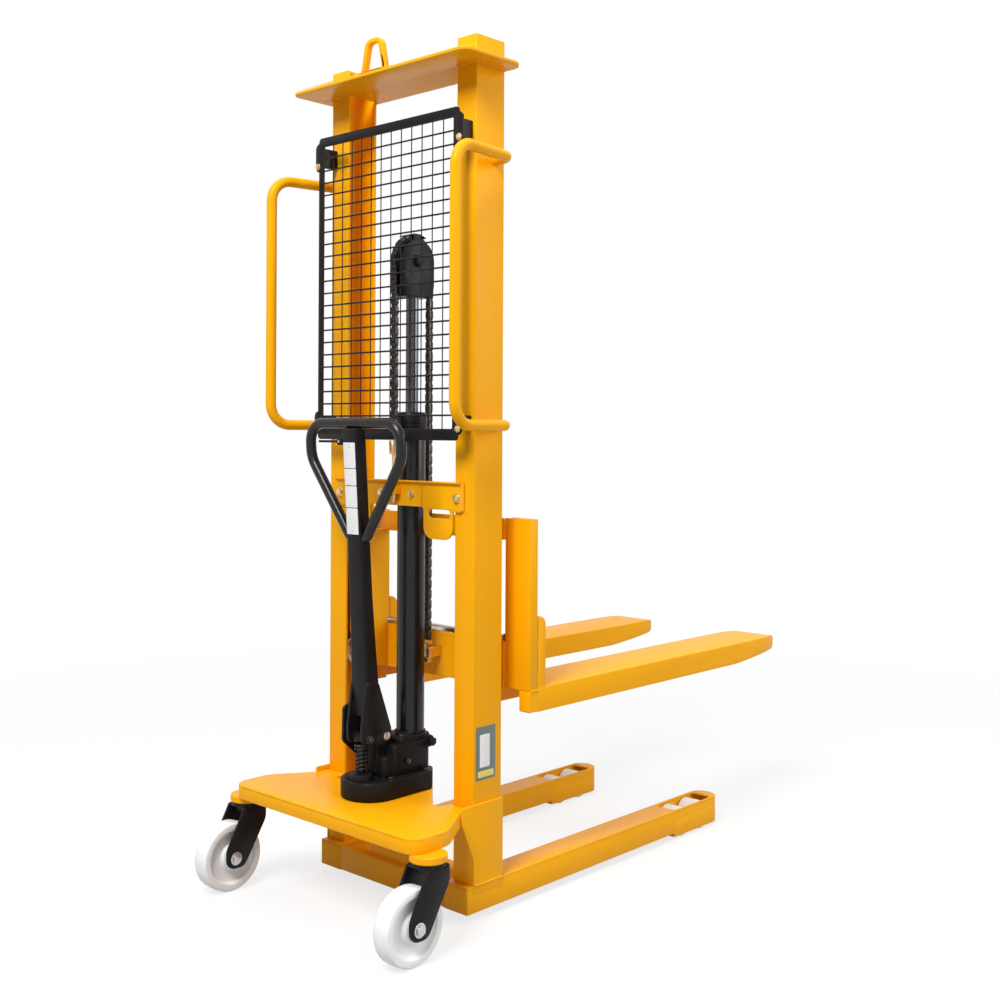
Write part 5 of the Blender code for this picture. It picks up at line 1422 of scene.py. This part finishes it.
@dataclass
class Tiller:
    """Pump tiller: box spine, yoke, hand loop, bare plate and release lever."""

    pivot_y: float = -0.058
    pivot_z: float = 0.385
    foot_y: float = -0.092
    head_y: float = -0.1385
    loop_top: float = 1.102
    half: float = 0.025

    def lean(self, z: float) -> float:
        """Middle of the leaning spine at a height."""
        return self.foot_y + (self.head_y - self.foot_y) * (z - self.pivot_z) / (self.loop_top - self.pivot_z)

    def spine(self) -> None:
        """Make the spine, wider and deeper at its foot, by lofting a box through edit-mode slices."""
        bpy.ops.object.select_all(action="DESELECT")
        foot, top = self.pivot_z + 0.048, 1.089
        bpy.ops.mesh.primitive_cube_add(size=1, location=(0, 0, 0.5))
        spine = started("spine")
        bpy.ops.object.mode_set(mode="EDIT")
        for z in (0.12, 0.26, 0.42, 0.60, 0.80):
            bpy.ops.mesh.select_all(action="SELECT")
            bpy.ops.mesh.bisect(plane_co=(0, 0, z), plane_no=(0, 0, 1))
        bpy.ops.object.mode_set(mode="OBJECT")
        for vertex in spine.data.vertices:
            up = vertex.co.z
            z = foot + (top - foot) * up
            flare = max(0.0, 1 - up / 0.45) ** 1.3
            half = self.half * (0.93 + 0.20 * flare)
            deep = 0.0155 + 0.0055 * flare
            vertex.co = Vector((half * (1 if vertex.co.x > 0 else -1),
                                self.lean(z) + deep * (1 if vertex.co.y > 0 else -1), z))
        soften(spine, 0.004, 4, 40)
        y, z = self.pivot_y, self.pivot_z
        outline = rounded([(y - 0.074, z - 0.012, 0.018), (y + 0.0145, z - 0.018, 0.015),
                           (y + 0.0150, z + 0.016, 0.016), (self.lean(z + 0.12) + 0.0175, z + 0.125, 0.014),
                           (self.lean(z + 0.12) - 0.018, z + 0.135, 0.012), (y - 0.074, z + 0.030, 0.022)], 8)
        cheeks = [plate("cheek", [outline, circle((y, z), 0.0068)], low, high, Axis.X, 0.0016)
                  for low, high in ((-0.0282, -0.0200), (0.0200, 0.0282))]
        nose = bar("nose", 0.0124, (-0.0205, -0.110, z), (0.0205, -0.110, z), 0.0008, 40)
        fit(joined("tiller_stem", [spine, *cheeks, nose]), "tiller", BLACK, "tiller_spine")
        pin = bar("pin", 0.007, (-0.030, y, z), (0.030, y, z), 0.0008)
        ends = [turned("end",
                       [(0.0, way * 0.0305), (0.0085, way * 0.0305), (0.0098, way * 0.0296),
                        (0.0098, way * 0.0283), (0.0, way * 0.0283)], (0, y, z), Axis.X, 32) for way in (-1,
                                                                                                         1)]
        fit(joined("tiller_pin", [pin, *ends]), "tiller", PLATED)
        for name, side in SIDES:
            fit(bolt(f"nose_bolt_{name}", 0.0075, 0.005, (side * 0.0282, -0.110, z), Axis.X, side), "tiller",
                LEAF)

    def loop(self) -> None:
        """Make the hand loop and its welds."""
        def at(x: float, z: float) -> tuple[float, float, float]:
            """A point on the loop's leaning plane."""
            return (x, self.lean(z), z)

        reach = 0.155
        stops = [at(0.015, 0.838), at(0.030, 0.846), at(reach, 1.022), at(reach, self.loop_top),
                 at(-reach, self.loop_top), at(-reach, 1.022), at(-0.030, 0.846), at(-0.015, 0.838)]
        piece = tube("tiller_ring", bent(stops, [0.012, 0.070, 0.046, 0.046, 0.070, 0.012], 16), 0.0122, 24)
        fit(piece, "tiller", GLOSS, "tiller_loop")
        rim = [(0.0125 * cos(a), self.lean(1.0885) + 0.0125 * sin(a),
                1.0885) for a in angles(20)]
        fit(bead("spine_cap_weld", [(x * 1.8, y, z) for x, y, z in rim], 0.0020), "tiller", BLACK)

    def plate_and_lever(self) -> None:
        """Make the bare plate, the release lever and its rod."""
        low, high = 0.850, 1.058
        tilt = atan2(self.lean(low) - self.lean(high), high - low)
        cards = []
        for z0, z1 in ((0.850, 0.9095), (0.911, 0.9595), (0.961, 0.9985), (1.000, 1.058)):
            card = plate("card",
                         [rounded(rectangle(-0.0195, 0, 0.0195, z1 - z0, 0.0015), 4)], 0, 0.0014, Axis.Y, 0.0004)
            card.data.transform(Matrix.Translation((0, self.lean(z0) - 0.0171, z0)) @ Matrix.Rotation(tilt, 4,
                                                                                                      "X"))
            cards.append(card)
        fit(joined("blank_plates", cards), "tiller", FILM)
        for z in (low + 0.010, high - 0.010):
            rivet = turned(f"plate_rivet_{round(z * 1000)}",
                           [(0.0, -0.0016), (0.0014, -0.0013), (0.0024, 0.0), (0.0, 0.0)],
                           (0, self.lean(z) - 0.0170, z), Axis.Y, 20)
            fit(rivet, "tiller", PLATED)
        z = 1.060
        y = self.lean(z)
        x = -0.040
        ears = [plate("ear",
                      [rounded([(x - 0.0075, z - 0.0085, 0.007), (-0.0245, z - 0.0085, 0.001),
                                (-0.0245, z + 0.0085, 0.001), (x - 0.0075, z + 0.0085, 0.007)])], y0,
                      y0 + 0.0032, Axis.Y, 0.0008) for y0 in (y - 0.0122, y + 0.0090)]
        fit(joined("lever_ears", ears), "tiller", BLACK)
        pin = bar("lever_pin", 0.003, (x, y - 0.0135, z), (x, y + 0.0135, z), 0.0005, 20)
        fit(pin, "tiller", PLATED)
        hub = turned("hub", [(0.0033, -0.0085), (0.0065, -0.0085), (0.0065, 0.0085), (0.0033, 0.0085)],
                     (x, y, z), Axis.Y, 32)
        blade = plate("blade",
                      [rounded([(x - 0.004, y - 0.0085, 0.002), (-0.122, y - 0.0085, 0.008),
                                (-0.122, y + 0.0085, 0.008), (x - 0.004, y + 0.0085, 0.002)])], z - 0.0028,
                      z + 0.0028, Axis.Z, 0.0016)
        fit(joined("squeeze_lever", [hub, blade]), "lever", BLACK, "release_lever")
        offset = 0.016 + 0.006
        top, foot = z - 0.014, self.pivot_z + 0.115
        route = [Vector((-0.017, self.lean(h) + offset, h)) for h in (foot, top)]
        rod = tube("rod", route, 0.0027, 14)
        eye = turned("eye", [(0.003, -0.003), (0.0062, -0.003), (0.0062, 0.003), (0.003, 0.003)],
                     (-0.017, self.lean(foot) + offset, foot - 0.003), Axis.X, 24)
        fit(joined("release_link", [rod, eye]), "rod", PLATED, "release_rod")
        for level, h in (("low", 0.55), ("high", 0.95)):
            face = self.lean(h) + 0.0155
            clip = plate(f"rod_clip_{level}",
                         [rounded([(-0.024, face - 0.003, 0.001), (-0.010, face - 0.003, 0.001),
                                   (-0.010, face + 0.0125, 0.006), (-0.024, face + 0.0125, 0.006)]),
                          circle((-0.017, face + 0.0065), 0.0036, 20)], h - 0.008, h + 0.008, Axis.Z, 0.0008)
            fit(clip, "tiller", BLACK)

    def build(self) -> None:
        """Make every piece of the tiller."""
        self.spine()
        self.loop()
        self.plate_and_lever()


@dataclass
class RatingFilm:
    """The bare film on the right post's outer face."""

    x: float = 0.2472
    low: Point = (0.009, 0.308)
    high: Point = (0.072, 0.427)

    def build(self) -> None:
        """Make the film, its pale block and its strip, all left blank."""
        (y0, z0), (y1, z1) = self.low, self.high
        layers = (("ground", y0, z0, y1, z1, FILM_GREY, 0.0),
                  ("block", y0 + 0.012, z0 + 0.028, y0 + 0.044, z1 - 0.018, FILM, 0.0005),
                  ("strip", y0 + 0.006, z0 + 0.006, y1 - 0.006, z0 + 0.020, FILM_YELLOW, 0.0005))
        for name, ya, za, yb, zb, finish, lift in layers:
            outline = rounded(rectangle(ya, za, yb, zb, 0.003))
            film = plate(f"rating_{name}", [outline], self.x + lift, self.x + lift + 0.0006, Axis.X, 0.0002)
            fit(film, "chassis", finish)


@dataclass
class Studio:
    """Pale floor, soft lamps and the camera."""

    eye: tuple[float, float, float] = (2.1818, -2.0142, 1.084)
    yaw: float = 42.7
    roll: float = 0.3
    lens: float = 45.47
    shift: float = -0.0682

    def floor(self) -> None:
        """Lay the pale floor."""
        bpy.ops.object.select_all(action="DESELECT")
        bpy.ops.mesh.primitive_plane_add(size=30, location=(0, 0, 0))
        ground = bpy.context.active_object
        ground.name = "studio_floor"
        graph = Graph("pale_floor")
        ray = graph.node("ShaderNodeLightPath")
        graph.feed(Base_Color=graph.blend(ray.outputs["Is Diffuse Ray"], (0.93, 0.93, 0.93, 1),
                                          (0.42, 0.42, 0.42, 1)), Roughness=0.9, Specular_IOR_Level=0.1)
        glow = graph.node("ShaderNodeEmission", Color=(1, 1, 1, 1), Strength=1.0)
        reach = graph.node("ShaderNodeVectorMath", {"operation": "LENGTH"})
        graph.put(reach, 0, graph.place())
        far = graph.band(reach.outputs["Value"], 1.2, 3.4, 0.76, 1.0)
        share = graph.node("ShaderNodeMath", {"operation": "MULTIPLY"})
        seen = graph.node("ShaderNodeMath", {"operation": "MAXIMUM"})
        graph.put(seen, 0, ray.outputs["Is Camera Ray"])
        graph.put(seen, 1, ray.outputs["Is Glossy Ray"])
        graph.put(share, 0, seen.outputs[0])
        graph.put(share, 1, far)
        mix = graph.node("ShaderNodeMixShader")
        graph.put(mix, 0, share.outputs[0])
        graph.put(mix, 1, graph.shader.outputs[0])
        graph.put(mix, 2, glow.outputs[0])
        graph.tree.links.new(mix.outputs[0], graph.tree.nodes["Material Output"].inputs["Surface"])
        ground.data.materials.append(graph.material)

    def lamp(self, name: str, place: tuple, target: tuple, size: float, power: float) -> None:
        """Hang one soft lamp."""
        light = bpy.data.lights.new(name, "AREA")
        light.shape = "SQUARE"
        light.size = size
        light.energy = power
        obj = bpy.data.objects.new(name, light)
        obj.location = place
        obj.rotation_euler = (Vector(target) - Vector(place)).to_track_quat("-Z", "Y").to_euler()
        bpy.context.scene.collection.objects.link(obj)

    def world(self) -> None:
        """Light the scene evenly, with a white backdrop for what the camera sees."""
        world = bpy.data.worlds.new("studio")
        bpy.context.scene.world = world
        world.use_nodes = True
        tree = world.node_tree
        background = tree.nodes["Background"]
        background.inputs["Color"].default_value = (1, 1, 1, 1)
        path = tree.nodes.new("ShaderNodeLightPath")
        seen = tree.nodes.new("ShaderNodeMath")
        seen.operation = "MAXIMUM"
        tree.links.new(path.outputs["Is Camera Ray"], seen.inputs[0])
        through = tree.nodes.new("ShaderNodeMath")
        through.operation = "MAXIMUM"
        tree.links.new(path.outputs["Is Transmission Ray"], through.inputs[0])
        tree.links.new(path.outputs["Is Glossy Ray"], through.inputs[1])
        tree.links.new(through.outputs[0], seen.inputs[1])
        level = tree.nodes.new("ShaderNodeMapRange")
        level.inputs["To Min"].default_value = 0.34
        level.inputs["To Max"].default_value = 1.0
        tree.links.new(seen.outputs[0], level.inputs["Value"])
        tree.links.new(level.outputs["Result"], background.inputs["Strength"])

    def camera(self) -> None:
        """Set the camera."""
        data = bpy.data.cameras.new("view")
        data.lens = self.lens
        data.sensor_width = SENSOR_WIDTH
        data.shift_y = self.shift
        obj = bpy.data.objects.new("view", data)
        obj.location = framed(self.eye)
        upright = Matrix.Rotation(radians(90), 4, "X")
        turn = Matrix.Rotation(radians(self.yaw), 4, "Z") @ upright @ Matrix.Rotation(radians(self.roll), 4, "Z")
        obj.rotation_euler = turn.to_euler()
        bpy.context.scene.collection.objects.link(obj)
        bpy.context.scene.camera = obj

    def build(self) -> None:
        """Set up the studio."""
        self.floor()
        self.lamp("key", (1.3, -4.2, 5.3), (0, -0.2, 0.9), 2.2, 350)
        self.lamp("fill", (4.2, 2.3, 2.6), (0, 0.0, 0.8), 2.6, 92)
        self.lamp("top", (0.0, 0.2, 4.6), (0, 0, 0), 3.0, 60)
        self.world()
        self.camera()
        bpy.context.scene.view_settings.view_transform = "Standard"


def main() -> None:
    """Build the stacker's looks in order."""
    logging.basicConfig(level=logging.INFO, format="%(name)s %(message)s")
    if "Cube" in bpy.data.objects:
        bpy.data.objects.remove(bpy.data.objects["Cube"])
    Studio().build()
    Mast().build()
    Guard().build()
    for name, side in SIDES:
        PushHandle(name, side).build()
        Leg(name, side).build()
        Castor(name, side).build()
    Chassis().build()
    Ram().build()
    Carriage().build()
    Pump().build()
    Tiller().build()
    RatingFilm().build()


if __name__ == "__main__":
    main()
